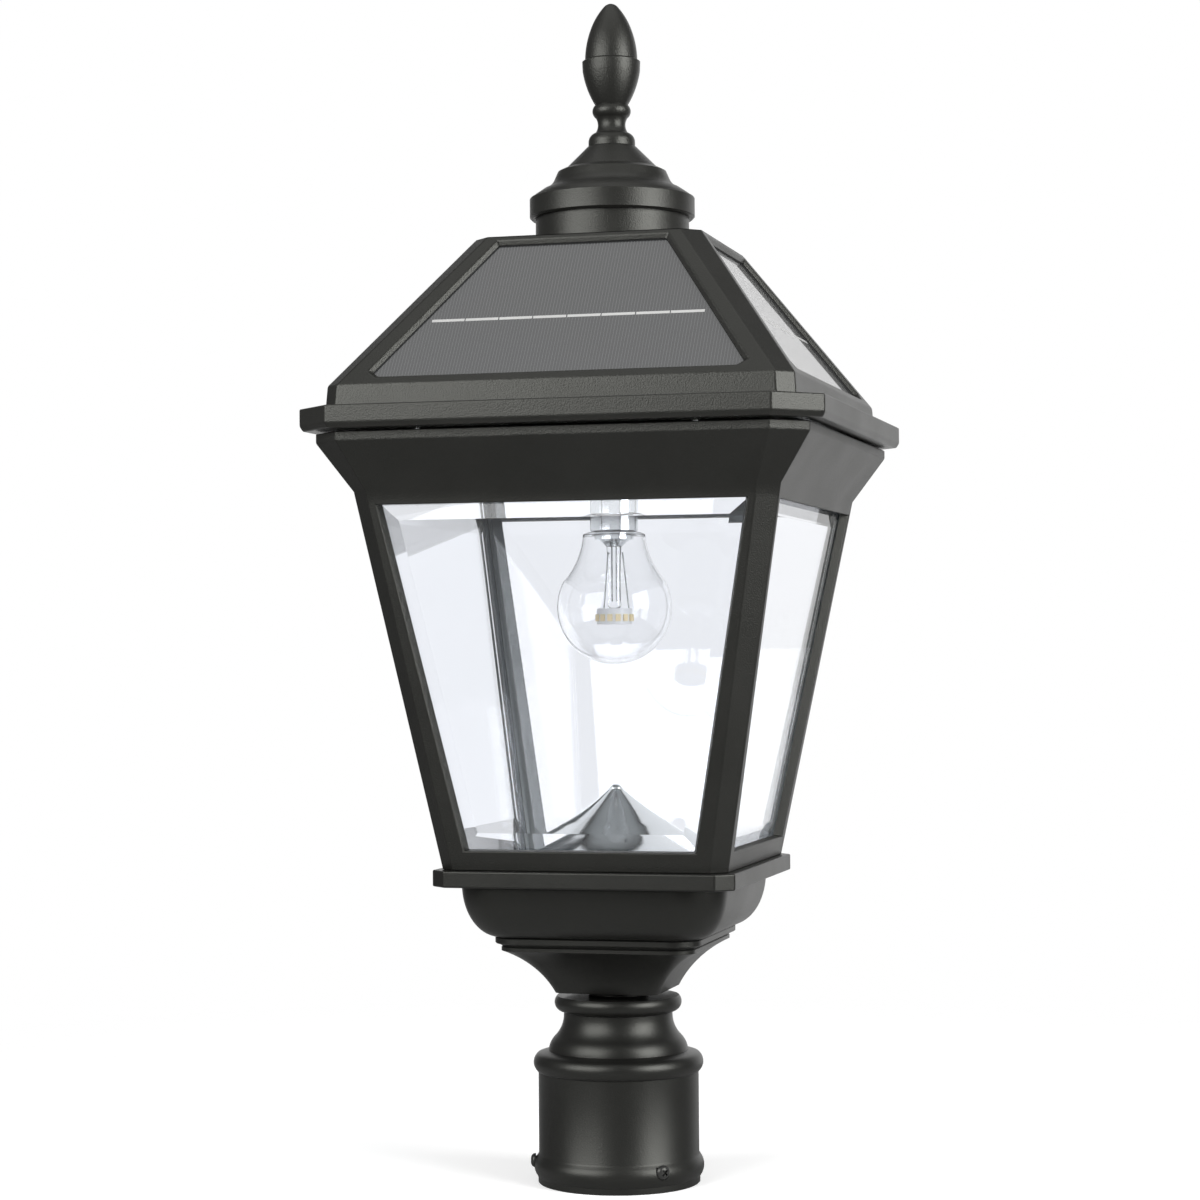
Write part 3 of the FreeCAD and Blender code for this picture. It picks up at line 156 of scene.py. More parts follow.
def mottling(nodes, links, scale, detail=2.0):
    """Soft noise that stays with the piece when it moves."""
    place = nodes.new("ShaderNodeTexCoord")
    noise = nodes.new("ShaderNodeTexNoise")
    noise.inputs["Scale"].default_value = scale
    noise.inputs["Detail"].default_value = detail
    links.new(place.outputs["Object"], noise.inputs["Vector"])
    return noise


def tinted(nodes, links, noise, shades, target, ends=(0.0, 1.0)):
    """Colours a socket from the first shade to the second as the noise rises."""
    tone = nodes.new("ShaderNodeValToRGB")
    for stop, end, shade in zip(tone.color_ramp.elements, ends, shades):
        stop.position = end
        stop.color = (*shade, 1)
    links.new(noise.outputs["Fac"], tone.inputs["Fac"])
    links.new(tone.outputs["Color"], target)


def varied(nodes, links, noise, low, high, target):
    """Moves a socket from a low value to a high one as the noise rises."""
    span = nodes.new("ShaderNodeMapRange")
    span.inputs["To Min"].default_value = low
    span.inputs["To Max"].default_value = high
    links.new(noise.outputs["Fac"], span.inputs["Value"])
    links.new(span.outputs["Result"], target)


def bumped(nodes, links, height, strength, distance, target):
    """Gives a shader's normal a relief from a height."""
    bump = nodes.new("ShaderNodeBump")
    bump.inputs["Strength"].default_value = strength
    bump.inputs["Distance"].default_value = distance
    links.new(height, bump.inputs["Height"])
    links.new(bump.outputs["Normal"], target)


def coat(name, shade, roughness, grain_mm, depth, speckle=0.12):
    """Black powder coat: a soft orange-peel grain over a faint cloudiness."""
    material, nodes, links, paint = blank_surface(name)
    paint.inputs["Metallic"].default_value = 0.0
    paint.inputs["IOR"].default_value = 1.5
    paint.inputs["Specular Tint"].default_value = (0.99, 1.0, 0.93, 1)
    cloud = mottling(nodes, links, 26.0, 3.0)
    shades = [[c * (1 - speckle) for c in shade], [c * (1 + speckle) for c in shade]]
    tinted(nodes, links, cloud, shades, paint.inputs["Base Color"], (0.3, 0.7))
    varied(nodes, links, cloud, roughness - 0.05, roughness + 0.07, paint.inputs["Roughness"])
    grain = mottling(nodes, links, 1.0 / (grain_mm * MM))
    grain.inputs["Roughness"].default_value = 0.55
    bumped(nodes, links, grain.outputs["Fac"], depth, 0.00035, paint.inputs["Normal"])
    return material


def dress(piece, material, body, slot, *nodes):
    """Gives a piece its material and its body, and hides the nodes it stands for. The slot is not
    used.
    """
    piece.data.materials.clear()
    piece.data.materials.append(material)
    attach(piece, body)
    if nodes:
        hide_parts(*nodes)


smooth_coat = coat("smooth_black_coat", (0.0065, 0.0065, 0.0060), 0.36, 0.7, 0.16)
fitter_points = outline(
    (38.45, 0.0), (41.7, 0), (42.1, 0.4), (42.1, 3.2), (44.15, 8.8, 42.25, 14.0), (41.65, 15.2),
    (41.65, 57.2), (44.15, 61.6, 42.05, 66.6), (39.8, 67.3), (36.3, 68.3), (35.4, 71.8, 32.8, 75.6),
    (29.6, 80.4, 28.3, 86.2), (28.3, 88.0), (30.6, 88.9), (33.05, 92.7, 31.65, 96.5),
    (5.2, 96.5), (5.2, 92.5), (25.1, 92.5), (25.1, 80.2), (30.1, 67.6), (38.45, 60.0))
pole_fitter = turned("pole_fitter", fitter_points)


def applied(piece):
    """Bakes a piece's modifiers into its mesh."""
    solid = bpy.data.meshes.new_from_object(
        piece.evaluated_get(bpy.context.evaluated_depsgraph_get()))
    piece.modifiers.clear()
    old = piece.data
    piece.data = solid
    solid.name = piece.name
    bpy.data.meshes.remove(old)
    return solid


def bored(piece, radius, start, length, height, angles):
    """Cuts round holes outwards into a turned piece, at angles from the front."""
    work = bmesh.new()
    for angle in angles:
        out = Vector((math.sin(math.radians(angle)), -math.cos(math.radians(angle)), 0))
        middle = Matrix.Translation((out * (start + length / 2) + Vector((0, 0, height))) * MM)
        bmesh.ops.create_cone(
            work, cap_ends=True, segments=48, radius1=radius * MM, radius2=radius * MM,
            depth=length * MM, matrix=middle @ out.to_track_quat("Z", "Y").to_matrix().to_4x4())
    cutter = keep("hole_cutter", work)
    cut = piece.modifiers.new("holes", "BOOLEAN")
    cut.operation = "DIFFERENCE"
    cut.solver = "EXACT"
    cut.object = cutter
    solid = applied(piece)
    bpy.data.objects.remove(cutter)
    solid.set_sharp_from_angle(angle=math.radians(30))


clamp_angles = (45.0, 165.0, 285.0)
clamp_height = 10.9
head_hole, shank_hole = 3.9, 2.65
bored(pole_fitter, head_hole, 42.65, 10.0, clamp_height, clamp_angles)
bored(pole_fitter, shank_hole, 36.0, 10.0, clamp_height, clamp_angles)
dress(pole_fitter, smooth_coat, "lantern", "black_coat", "fitter")


# ---- Base casting ---------------------------------------------------------------------------
# One casting: a small square foot, a hollow cove, two thin steps and a round-cornered bowl that
# swells up to the tray. Same satin coat as the fitter.
def square_ring(work, half, corner, height, fine=10):
    """One level ring of a round-cornered square, in millimetres."""
    ring = []
    flat = half - corner
    for quarter in range(4):
        middle = math.radians(90 * quarter + 45)
        cx = math.copysign(flat, math.cos(middle))
        cy = math.copysign(flat, math.sin(middle))
        for k in range(fine + 1):
            angle = math.radians(90 * quarter + 90 * k / fine)
            ring.append(work.verts.new(((cx + corner * math.cos(angle)) * MM,
                                        (cy + corner * math.sin(angle)) * MM, height * MM)))
    return ring


def squared(name, levels, sharp=30):
    """A closed piece through round-cornered squares, each (half, corner radius, height)."""
    work = bmesh.new()
    rings = [square_ring(work, *level) for level in levels]
    for low, high in zip(rings, rings[1:]):
        count = len(low)
        for k in range(count):
            work.faces.new((low[k], low[(k + 1) % count], high[(k + 1) % count], high[k]))
    work.faces.new(rings[0][::-1])
    work.faces.new(rings[-1])
    return keep(name, work, sharp)


foot_z = 99.7
cove_top_z = 123.0
bowl_foot_z = 130.1
tray_foot_z = 157.2
foot_half, foot_corner = 27.3, 5.3
cove_half, cove_corner = 50.8, 12.0
cove = [(half, foot_corner + (cove_corner - foot_corner) * (half - foot_half)
         / (cove_half - foot_half), height)
        for half, height in outline((foot_half, foot_z), (37.0, 113.5, cove_half, cove_top_z),
                                    fine=16)]
edge = 0.5
steps = [(cove_half, cove_corner, cove_top_z + edge), (cove_half, cove_corner, 125.3 - edge),
         (50.3, 11.6, 125.3), (51.6, 12.8, 126.2), (53.4, 14.5, 126.7),
         (53.9, 15.0, 126.7 + edge), (53.9, 15.0, bowl_foot_z - edge),
         (53.4, 14.5, bowl_foot_z), (51.8, 13.0, bowl_foot_z + 0.05)]
bowl_foot_half, bowl_foot_corner = 52.0, 13.2
bowl_swell, corner_swell = 17.2, 10.8
bowl_rings = 18
bowl = []
for k in range(1, bowl_rings + 1):
    angle = math.radians(90 * k / bowl_rings)
    bowl.append((bowl_foot_half + bowl_swell * math.sin(angle),
                 bowl_foot_corner + corner_swell * math.sin(angle),
                 tray_foot_z - (tray_foot_z - bowl_foot_z) * math.cos(angle)))
base_bowl = squared("base_bowl", cove + steps + bowl)
dress(base_bowl, smooth_coat, "lantern", "black_coat", "base_casting")

neck_ring = turned("neck_ring", outline((5.2, 96.5), (15.0, 96.5), (15.5, 97.0), (15.5, 99.2),
                                        (15.0, 99.7), (5.2, 99.7)), around=64)
dark_coat = coat("dark_black_coat", (0.0080, 0.0080, 0.0076), 0.5, 0.8, 0.2)
dress(neck_ring, dark_coat, "lantern", "black_coat", "neck_spacer")


# ---- Tray -----------------------------------------------------------------------------------
# The flat cast plate between the bowl and the cage, with cut corners and softened edges.
def cut_ring(work, half, corner, height):
    """One level ring of a square with cut corners, in millimetres."""
    flat = half - corner
    places = [(flat, -half), (half, -flat), (half, flat), (flat, half),
              (-flat, half), (-half, flat), (-half, -flat), (-flat, -half)]
    return [work.verts.new((x * MM, y * MM, height * MM)) for x, y in places]


def softened(piece, width, angle=25):
    """Rounds a piece's hard edges by a small radius in millimetres."""
    modifier = piece.modifiers.new("soft_edges", "BEVEL")
    modifier.width = width * MM
    modifier.segments = 3
    modifier.limit_method = "ANGLE"
    modifier.angle_limit = math.radians(angle)
    modifier.harden_normals = True
    modifier.use_clamp_overlap = True
    applied(piece)


def cut_block(name, levels, hole=None):
    """A piece through cut-cornered squares, each (half, corner, height), solid or as a ring."""
    work = bmesh.new()
    rings = [cut_ring(work, *level) for level in levels]
    if hole:
        rings += [cut_ring(work, *level) for level in reversed(hole)]
        rings.append(rings[0])
    for low, high in zip(rings, rings[1:]):
        for k in range(8):
            work.faces.new((low[k], low[(k + 1) % 8], high[(k + 1) % 8], high[k]))
    if not hole:
        work.faces.new(rings[0][::-1])
        work.faces.new(rings[-1])
    return keep(name, work)


tray_z = 165.6
tray_half, tray_corner = 78.1, 8.4
tray_plate = cut_block("tray_plate", [(tray_half, tray_corner, tray_foot_z),
                                      (tray_half, tray_corner, tray_z)])
softened(tray_plate, 0.9)
dress(tray_plate, smooth_coat, "lantern", "black_coat", "tray")


# ---- Mirror cone ----------------------------------------------------------------------------
# A spun sheet cone with a rounded tip and a hollow-sided flare, polished like a mirror, which
# throws the lamp's light sideways. Three screws hold its flange to the tray.
def polished(name, colour, roughness, ring_mm=0.0):
    """Bare metal, with faint turning rings where it was spun."""
    material, nodes, links, metal = blank_surface(name)
    metal.inputs["Base Color"].default_value = (*colour, 1)
    metal.inputs["Metallic"].default_value = 1.0
    smear = mottling(nodes, links, 60.0, 3.0)
    varied(nodes, links, smear, roughness * 0.7, roughness * 1.3, metal.inputs["Roughness"])
    if ring_mm:
        place = nodes.new("ShaderNodeTexCoord")
        rings = nodes.new("ShaderNodeTexWave")
        rings.wave_type = "BANDS"
        rings.bands_direction = "Z"
        rings.inputs["Scale"].default_value = 1.0 / (ring_mm * MM * 20)
        rings.inputs["Distortion"].default_value = 0.6
        links.new(place.outputs["Object"], rings.inputs["Vector"])
        bumped(nodes, links, rings.outputs["Fac"], 0.05, 0.0001, metal.inputs["Normal"])
    return material


mirror = polished("spun_mirror", (0.80, 0.82, 0.82), 0.10, 0.6)
cone = turned("spun_cone", outline(
    (0.0, 206.2), (1.6, 206.0, 3.4, 204.0), (15.6, 194.2, 27.1, 186.6), (40.1, 178.8, 54.4, 172.2),
    (55.0, 171.6), (55.0, 167.2), (55.6, 166.6), (61.0, 166.6), (61.0, 165.6), (54.0, 165.6),
    (54.0, 171.1), (39.5, 177.7, 26.5, 185.6), (14.9, 193.4, 3.0, 202.6), (0.0, 204.8),
    fine=16), sharp=50)
dress(cone, mirror, "lantern", "mirror_sheet", "mirror_cone")


# ---- Cage -----------------------------------------------------------------------------------
# One casting: four sloping sides, each with a tall window, cut corners that widen upwards, a
# flared cornice and an upright rim. The rim's band keeps the rough texture of the mould.
def tilt_of(low_half, low_z, high_half, high_z):
    """Inward square direction of a sloping side as (level, up) parts."""
    length = math.hypot(high_half - low_half, high_z - low_z)
    return (high_z - low_z) / length, (high_half - low_half) / length


def windowed(name, rows, inner_rows, open_rows):
    """A four-sided shell. A row is (half, corner, height, window half). Rows run up the side."""
    work = bmesh.new()
    grids = []
    for turn in range(4):
        spin = Matrix.Rotation(math.radians(90 * turn), 3, "Z")
        sheets = []
        for sheet in (rows, inner_rows):
            grid = []
            for half, corner, height, window in sheet:
                flat = half - corner
                grid.append([work.verts.new(spin @ Vector((x * MM, -half * MM, height * MM)))
                             for x in (-flat, -window, window, flat)])
            sheets.append(grid)
        grids.append(sheets)
    for turn in range(4):
        outer, inner = grids[turn]
        next_outer, next_inner = grids[(turn + 1) % 4]
        for sheet, beside in ((outer, next_outer), (inner, next_inner)):
            for row in range(len(sheet) - 1):
                for column in range(3):
                    if column == 1 and row in open_rows:
                        continue
                    work.faces.new((sheet[row][column], sheet[row][column + 1],
                                    sheet[row + 1][column + 1], sheet[row + 1][column]))
                work.faces.new((sheet[row][3], beside[row][0],
                                beside[row + 1][0], sheet[row + 1][3]))
        first, last = min(open_rows), max(open_rows) + 1
        for row in open_rows:
            for column in (1, 2):
                work.faces.new((outer[row][column], outer[row + 1][column],
                                inner[row + 1][column], inner[row][column]))
        for row in (first, last):
            work.faces.new((outer[row][1], outer[row][2], inner[row][2], inner[row][1]))
        for row in (0, len(rows) - 1):
            for column in range(3):
                work.faces.new((outer[row][column], outer[row][column + 1],
                                inner[row][column + 1], inner[row][column]))
            work.faces.new((outer[row][3], next_outer[row][0], next_inner[row][0], inner[row][3]))
    return keep(name, work)


crease_z = 355.5
rim_foot_z = 379.4
rim_z = 384.0
cage_wall = 5.0
cage_foot_half, cage_head_half = 73.8, 108.5
cage_foot_corner, cage_head_corner = 7.7, 9.6
level_in, up_in = tilt_of(cage_foot_half, tray_z, cage_head_half, crease_z)


def cage_half(height):
    return cage_foot_half + ((cage_head_half - cage_foot_half) * (height - tray_z)
                             / (crease_z - tray_z))


def cage_corner(height):
    return cage_foot_corner + ((cage_head_corner - cage_foot_corner) * (height - tray_z)
                               / (crease_z - tray_z))


window_foot_z, window_head_z = 175.6, 348.2
window_foot_half, window_head_half = 59.9, 93.9
inner_corner = 3.1
jamb_taper = 2.0
foot_split, head_split, rim_split = 58.6, 95.0, 100.0
cage_rows = []
cage_inner = []
for height, window in ((tray_z, foot_split), (window_foot_z, window_foot_half),
                       (window_head_z, window_head_half), (crease_z, head_split)):
    half = cage_half(height)
    cage_rows.append((half, cage_corner(height), height, window))
    if height in (window_foot_z, window_head_z):
        inner_height = height + up_in * cage_wall
    else:
        inner_height = height
    inner_half = cage_half(inner_height) - cage_wall / level_in
    cage_inner.append((inner_half, inner_corner, inner_height, window - jamb_taper))
rim_half, rim_corner = 124.8, 16.3
rim_inner_half, rim_inner_corner = 121.6, 12.6
for height in (rim_foot_z, rim_z):
    cage_rows.append((rim_half, rim_corner, height, rim_split))
    cage_inner.append((rim_inner_half, rim_inner_corner, height, rim_split))
cage_shell = windowed("cage_shell", cage_rows, cage_inner, [1])
softened(cage_shell, 0.7)
cage_coat = coat("cage_black_coat", (0.0085, 0.0085, 0.0077), 0.40, 0.7, 0.5)
dress(cage_shell, cage_coat, "lantern", "black_coat", "cage")
# Light grey painted reflection on the cage's inward faces: it stands in for the white surroundings
# that the panes mirror over the posts seen through the glass.
painted_reflection_coat = coat("thin_inner_coat", (0.080, 0.090, 0.090), 0.40, 0.9, 0.2)
rim_coat = coat("rough_rim_coat", (0.0090, 0.0090, 0.0082), 0.40, 0.75, 0.9, 0.4)
cage_shell.data.materials.append(painted_reflection_coat)
cage_shell.data.materials.append(rim_coat)
# Faces turned inwards take the painted reflection; the rim's upright outer band takes the rough
# coat.
for polygon in cage_shell.data.polygons:
    axis = 0 if abs(polygon.center.x) > abs(polygon.center.y) else 1
    if polygon.normal[axis] * math.copysign(1, polygon.center[axis]) < -0.5:
        polygon.material_index = 1
    elif polygon.center.z > rim_foot_z * MM and abs(polygon.normal.z) < 0.5:
        polygon.material_index = 2


# ---- Glass panes ----------------------------------------------------------------------------
# Bevelled clear float glass, one pane to each window, laid in from inside. The outer face is
# ground to a slope along its border, which bends what is seen along the edge of every window.
class Slope:
    """A sloping side through two level edges. Places are (x, height, depth behind it) in mm."""

    def __init__(self, low_half, low_z, high_half, high_z):
        self.low_half, self.low_z = low_half, low_z
        self.lean = (high_half - low_half) / (high_z - low_z)
        length = math.hypot(self.lean, 1.0)
        self.rise = 1.0 / length
        self.along = Vector((0, -self.lean / length, self.rise))
        self.inward = Vector((0, self.rise, self.lean / length))

    def half_at(self, height):
        return self.low_half + self.lean * (height - self.low_z)

    def point(self, x, height, depth):
        start = Vector((x, -self.low_half, self.low_z))
        return start + self.along * ((height - self.low_z) / self.rise) + self.inward * depth

    def grown(self, shape, distance):
        """An outline of (x, height) on the side, moved outwards."""
        flat = [(x, (height - self.low_z) / self.rise) for x, height in shape]
        lines = []
        for (ax, ay), (bx, by) in zip(flat, flat[1:] + flat[:1]):
            length = math.hypot(bx - ax, by - ay)
            out = ((by - ay) / length, (ax - bx) / length)
            lines.append((out, out[0] * ax + out[1] * ay + distance))
        result = []
        for (first, one), (second, two) in zip(lines[-1:] + lines[:-1], lines):
            area = first[0] * second[1] - first[1] * second[0]
            x = (one * second[1] - two * first[1]) / area
            up = (two * first[0] - one * second[0]) / area
            result.append((x, self.low_z + up * self.rise))
        return result


sides = {"front": 0, "right": 90, "back": 180, "left": 270}
cage_side = Slope(cage_foot_half, tray_z, cage_head_half, crease_z)
window_shape = [(-window_foot_half, window_foot_z), (window_foot_half, window_foot_z),
                (window_head_half, window_head_z), (-window_head_half, window_head_z)]


def plate(name, slope, layers, turn, sharp=30):
    """A closed plate in a sloping side. A layer is an outline and its depth, outermost first."""
    work = bmesh.new()
    spin = Matrix.Rotation(math.radians(turn), 3, "Z")
    rings = [[work.verts.new(spin @ slope.point(x, height, depth) * MM) for x, height in shape]
             for shape, depth in layers]
    for low, high in zip(rings, rings[1:]):
        for k in range(len(low)):
            work.faces.new((low[k], low[(k + 1) % len(low)], high[(k + 1) % len(low)], high[k]))
    work.faces.new(rings[0])
    work.faces.new(rings[-1][::-1])
    return keep(name, work, sharp)


def larger(nodes, links, first, second):
    """The larger of two values."""
    choice = nodes.new("ShaderNodeMath")
    choice.operation = "MAXIMUM"
    links.new(first, choice.inputs[0])
    links.new(second, choice.inputs[1])
    return choice.outputs["Value"]


def mixed(nodes, links, factor, first, second):
    """The first shader at a factor of nought, and the second at one."""
    mix = nodes.new("ShaderNodeMixShader")
    links.new(factor, mix.inputs["Fac"])
    links.new(first, mix.inputs[1])
    links.new(second, mix.inputs[2])
    return mix.outputs["Shader"]


def clear_glass(name, tint, roughness, ior=1.5):
    """Clear glass with a trace of unevenness in its polish. Light falls straight through it."""
    material, nodes, links, glass = blank_surface(name)
    glass.inputs["Base Color"].default_value = (*tint, 1)
    glass.inputs["Transmission Weight"].default_value = 1.0
    glass.inputs["IOR"].default_value = ior
    haze = mottling(nodes, links, 14.0)
    varied(nodes, links, haze, 0.0, roughness, glass.inputs["Roughness"])
    path = nodes.new("ShaderNodeLightPath")
    lit = larger(nodes, links, path.outputs["Is Shadow Ray"], path.outputs["Is Diffuse Ray"])
    clear = nodes.new("ShaderNodeBsdfTransparent")
    clear.inputs["Color"].default_value = (*[0.92 * c for c in tint], 1)
    links.new(mixed(nodes, links, lit, glass.outputs["BSDF"], clear.outputs["BSDF"]),
              nodes["Material Output"].inputs["Surface"])
    return material


pane_glass = clear_glass("pane_glass", (0.955, 0.968, 0.995), 0.012)
pane_lap = 3.7
bevel_width = 12.0
face_depth, edge_depth, back_depth = 4.2, 6.4, 8.2
pane_outline = cage_side.grown(window_shape, pane_lap)
pane_layers = [(cage_side.grown(pane_outline, -bevel_width), face_depth),
               (pane_outline, edge_depth), (pane_outline, back_depth)]
for side, turn in sides.items():
    pane = plate("pane_" + side, cage_side, pane_layers, turn, 10)
    dress(pane, pane_glass, "lantern", "pane_glass", "glass_pane_" + side)


# ---- Lamp -----------------------------------------------------------------------------------
# A clear bulb with a drawn metal sleeve. Inside, a metal collar holds a glass stem with four thin
# lead wires, which ends in a white ring with a row of yellow light chips around it.
satin_metal = polished("satin_sleeve", (0.70, 0.72, 0.73), 0.16)
sleeve = turned("lamp_sleeve", outline(
    (0.0, 402.2), (11.5, 402.2), (12.5, 401.2), (12.5, 338.4), (12.2, 338.0), (11.8, 338.0),
    (11.8, 401.5), (0.0, 401.5)), around=96)
dress(sleeve, satin_metal, "bulb", "satin_steel", "bulb_sleeve")
collar = turned("stem_collar", outline(
    (0.0, 336.1), (10.2, 336.1), (10.2, 333.8), (7.7, 333.2), (4.4, 330.2), (0.0, 330.2)),
    around=64)
dress(collar, satin_metal, "bulb", "satin_steel", "bulb_stem_collar")

bulb_centre = 298.5
bulb_radius = 30.0
bulb_wall = 0.45


def envelope(inset):
    """The bulb's clear envelope from its neck down to its lowest point, moved in by a wall."""
    radius = bulb_radius - inset
    join = 26.9 - inset
    low = math.radians(-35)
    return outline((11.75 - inset, 346.0), (11.75 - inset, 337.7 - inset),
                   (14.3 - inset, 337.1 - inset * 0.3, 16.3 - inset, 336.2 - inset),
                   (19.1 - inset, 324.2, join, bulb_centre + math.sqrt(radius ** 2 - join ** 2)),
                   (radius * math.cos(low), bulb_centre + radius * math.sin(low),
                    0.0, bulb_centre - radius), fine=24)


bulb_glass = clear_glass("bulb_glass", (0.992, 0.994, 0.998), 0.006, 1.33)
globe = turned("bulb_envelope", envelope(0.0) + envelope(bulb_wall)[::-1], sharp=60)
dress(globe, bulb_glass, "bulb", "bulb_clear", "bulb_glass")
stem = turned("stem_glass", outline(
    (0.0, 330.2), (4.0, 330.2), (3.4, 315.1, 3.6, 299.5), (2.8, 298.1, 0.0, 297.5)), around=64)
dress(stem, bulb_glass, "bulb", "stem_clear", "bulb_stem")
lead_metal = polished("lead_metal", (0.20, 0.21, 0.21), 0.4)
lead_radius, lead_length, lead_middle = 0.3, 29.0, 316.0
leads = bmesh.new()
for x in (-3.0, -0.9, 0.9, 3.0):
    bmesh.ops.create_cone(leads, cap_ends=True, segments=12, radius1=lead_radius * MM,
                          radius2=lead_radius * MM, depth=lead_length * MM,
                          matrix=Matrix.Translation(Vector((x, 0, lead_middle)) * MM))
dress(keep("stem_leads", leads), lead_metal, "bulb", "satin_steel")


def moulded(name, colour, roughness, speck=0.05):
    """Moulded plastic or foam, faintly mottled."""
    material, nodes, links, plastic = blank_surface(name)
    shades = [[c * (1 - speck) for c in colour], [min(c * (1 + speck), 1.0) for c in colour]]
    tinted(nodes, links, mottling(nodes, links, 300.0), shades, plastic.inputs["Base Color"])
    plastic.inputs["Roughness"].default_value = roughness
    return material


def finish_nodes(material, *names):
    """CAD nodes that stay as they are, in their finished material."""
    for name in names:
        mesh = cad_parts[name].data
        mesh.materials.clear()
        mesh.materials.append(material)


white_ceramic = moulded("white_ceramic", (0.88, 0.88, 0.87), 0.45)
phosphor = moulded("yellow_phosphor", (0.94, 0.78, 0.46), 0.5)
finish_nodes(white_ceramic, "bulb_light_ring")
finish_nodes(phosphor, "bulb_light_chips")
finish_nodes(lead_metal, "bulb_ring_wires")


# ---- Roof casting ---------------------------------------------------------------------------
# One casting: a brim with cut corners over the cage's rim, an upright skirt and four slopes up to
# a flat deck, each slope with a window for a solar panel.
brim_foot_z, brim_z, skirt_z, deck_z = 385.2, 396.5, 407.4, 485.8
brim_half, brim_corner = 132.5, 21.4
brim_draft, brim_drip = 1.4, 2.5
brim_hole = (112.0, 12.0)
brim_plate = cut_block("roof_brim", [(brim_half - brim_draft, brim_corner, brim_foot_z),
                                     (brim_half, brim_corner, brim_foot_z + brim_drip),
                                     (brim_half, brim_corner, brim_z)],
                       hole=[(*brim_hole, brim_foot_z), (*brim_hole, brim_z)])
softened(brim_plate, 0.9)
roof_coat = coat("roof_black_coat", (0.0115, 0.0115, 0.0104), 0.36, 0.75, 0.45)
dress(brim_plate, roof_coat, "roof", "black_coat")

skirt_half, skirt_corner = 117.9, 7.9
deck_half, deck_corner = 59.2, 9.2
roof_side = Slope(skirt_half, skirt_z, deck_half, deck_z)
roof_wall = 2.4
deck_wall = 2.0
window_taper = 2.4
skirt_inner_half, skirt_inner_corner = 115.7, 6.7
hip_frame_foot, hip_frame_head = 8.6, 6.8
sill, foot_cut, foot_cut_rise = 3.4, 5.2, 0.65
foot_row = skirt_z + sill
cut_row = foot_row + foot_cut * foot_cut_rise
head_row = deck_z - deck_wall


def roof_corner(height):
    return skirt_corner + ((deck_corner - skirt_corner) * (height - skirt_z)
                           / (deck_z - skirt_z))


hip_cut = roof_side.half_at(cut_row) - roof_corner(cut_row) - hip_frame_foot
hip_head = roof_side.half_at(head_row) - roof_corner(head_row) - hip_frame_head
panel_shape = [(-hip_cut + foot_cut, foot_row), (hip_cut - foot_cut, foot_row),
               (hip_cut, cut_row), (hip_head, head_row), (-hip_head, head_row),
               (-hip_cut, cut_row)]
inner_shape = roof_side.grown(panel_shape, -window_taper)
outer_rows = [(118.7, skirt_corner, brim_z, hip_cut - foot_cut),
              (skirt_half, skirt_corner, skirt_z, hip_cut - foot_cut)]
inner_rows = [(skirt_inner_half, skirt_inner_corner, height, hip_cut - 8.0)
              for height in (brim_z, skirt_z - 0.6)]
for (x, height), (inner_x, inner_height) in zip(panel_shape[1:4], inner_shape[1:4]):
    outer_rows.append((roof_side.half_at(height), roof_corner(height), height, x))
    back = roof_side.point(inner_x, inner_height, roof_wall)
    inner_rows.append((-back.y, max(roof_corner(back.z) - 1.4, 1.0), back.z, inner_x))
outer_rows.append((deck_half, deck_corner, deck_z, hip_head))
inner_rows.append((roof_side.half_at(deck_z - deck_wall) - roof_wall / roof_side.rise, 7.8,
                   deck_z - deck_wall, hip_head - window_taper))
roof_cover = windowed("roof_slopes", outer_rows, inner_rows, [2, 3])
softened(roof_cover, 0.8, 20)
dress(roof_cover, roof_coat, "roof", "black_coat", "roof_shell")
deck_plate = cut_block("roof_deck", [(57.6, 9.0, deck_z - deck_wall),
                                     (59.15, deck_corner, deck_z - 0.02)])
dress(deck_plate, roof_coat, "roof", "black_coat")


# ---- Solar panels ---------------------------------------------------------------------------
# Glass-faced cells held against the underside of each slope: near-black with fine upright finger
# lines and one level busbar made of eight short bright strips.
panel_lap = 3.0
panel_depth = roof_wall + 0.4
panel_thickness = 3.2
panel_outline = roof_side.grown(inner_shape, panel_lap)


def cell_glass(name, dark, light):
    """Cell surface under a glass face, faintly uneven between two shades."""
    material, nodes, links, cell = blank_surface(name)
    tinted(nodes, links, mottling(nodes, links, 9.0, 3.0), (dark, light),
           cell.inputs["Base Color"])
    cell.inputs["IOR"].default_value = 1.85
    cell.inputs["Roughness"].default_value = 0.25
    cell.inputs["Coat Weight"].default_value = 1.0
    cell.inputs["Coat Roughness"].default_value = 0.03
    cell.inputs["Coat IOR"].default_value = 1.5
    return material


cell_face = cell_glass("cell_glass", (0.018, 0.019, 0.021), (0.030, 0.031, 0.031))
panel_layers = [(panel_outline, panel_depth), (panel_outline, panel_depth + panel_thickness)]
for side, turn in sides.items():
    panel = plate("panel_" + side, roof_side, panel_layers, turn)
    dress(panel, cell_face, "roof", "solar_cell", "solar_panel_" + side)


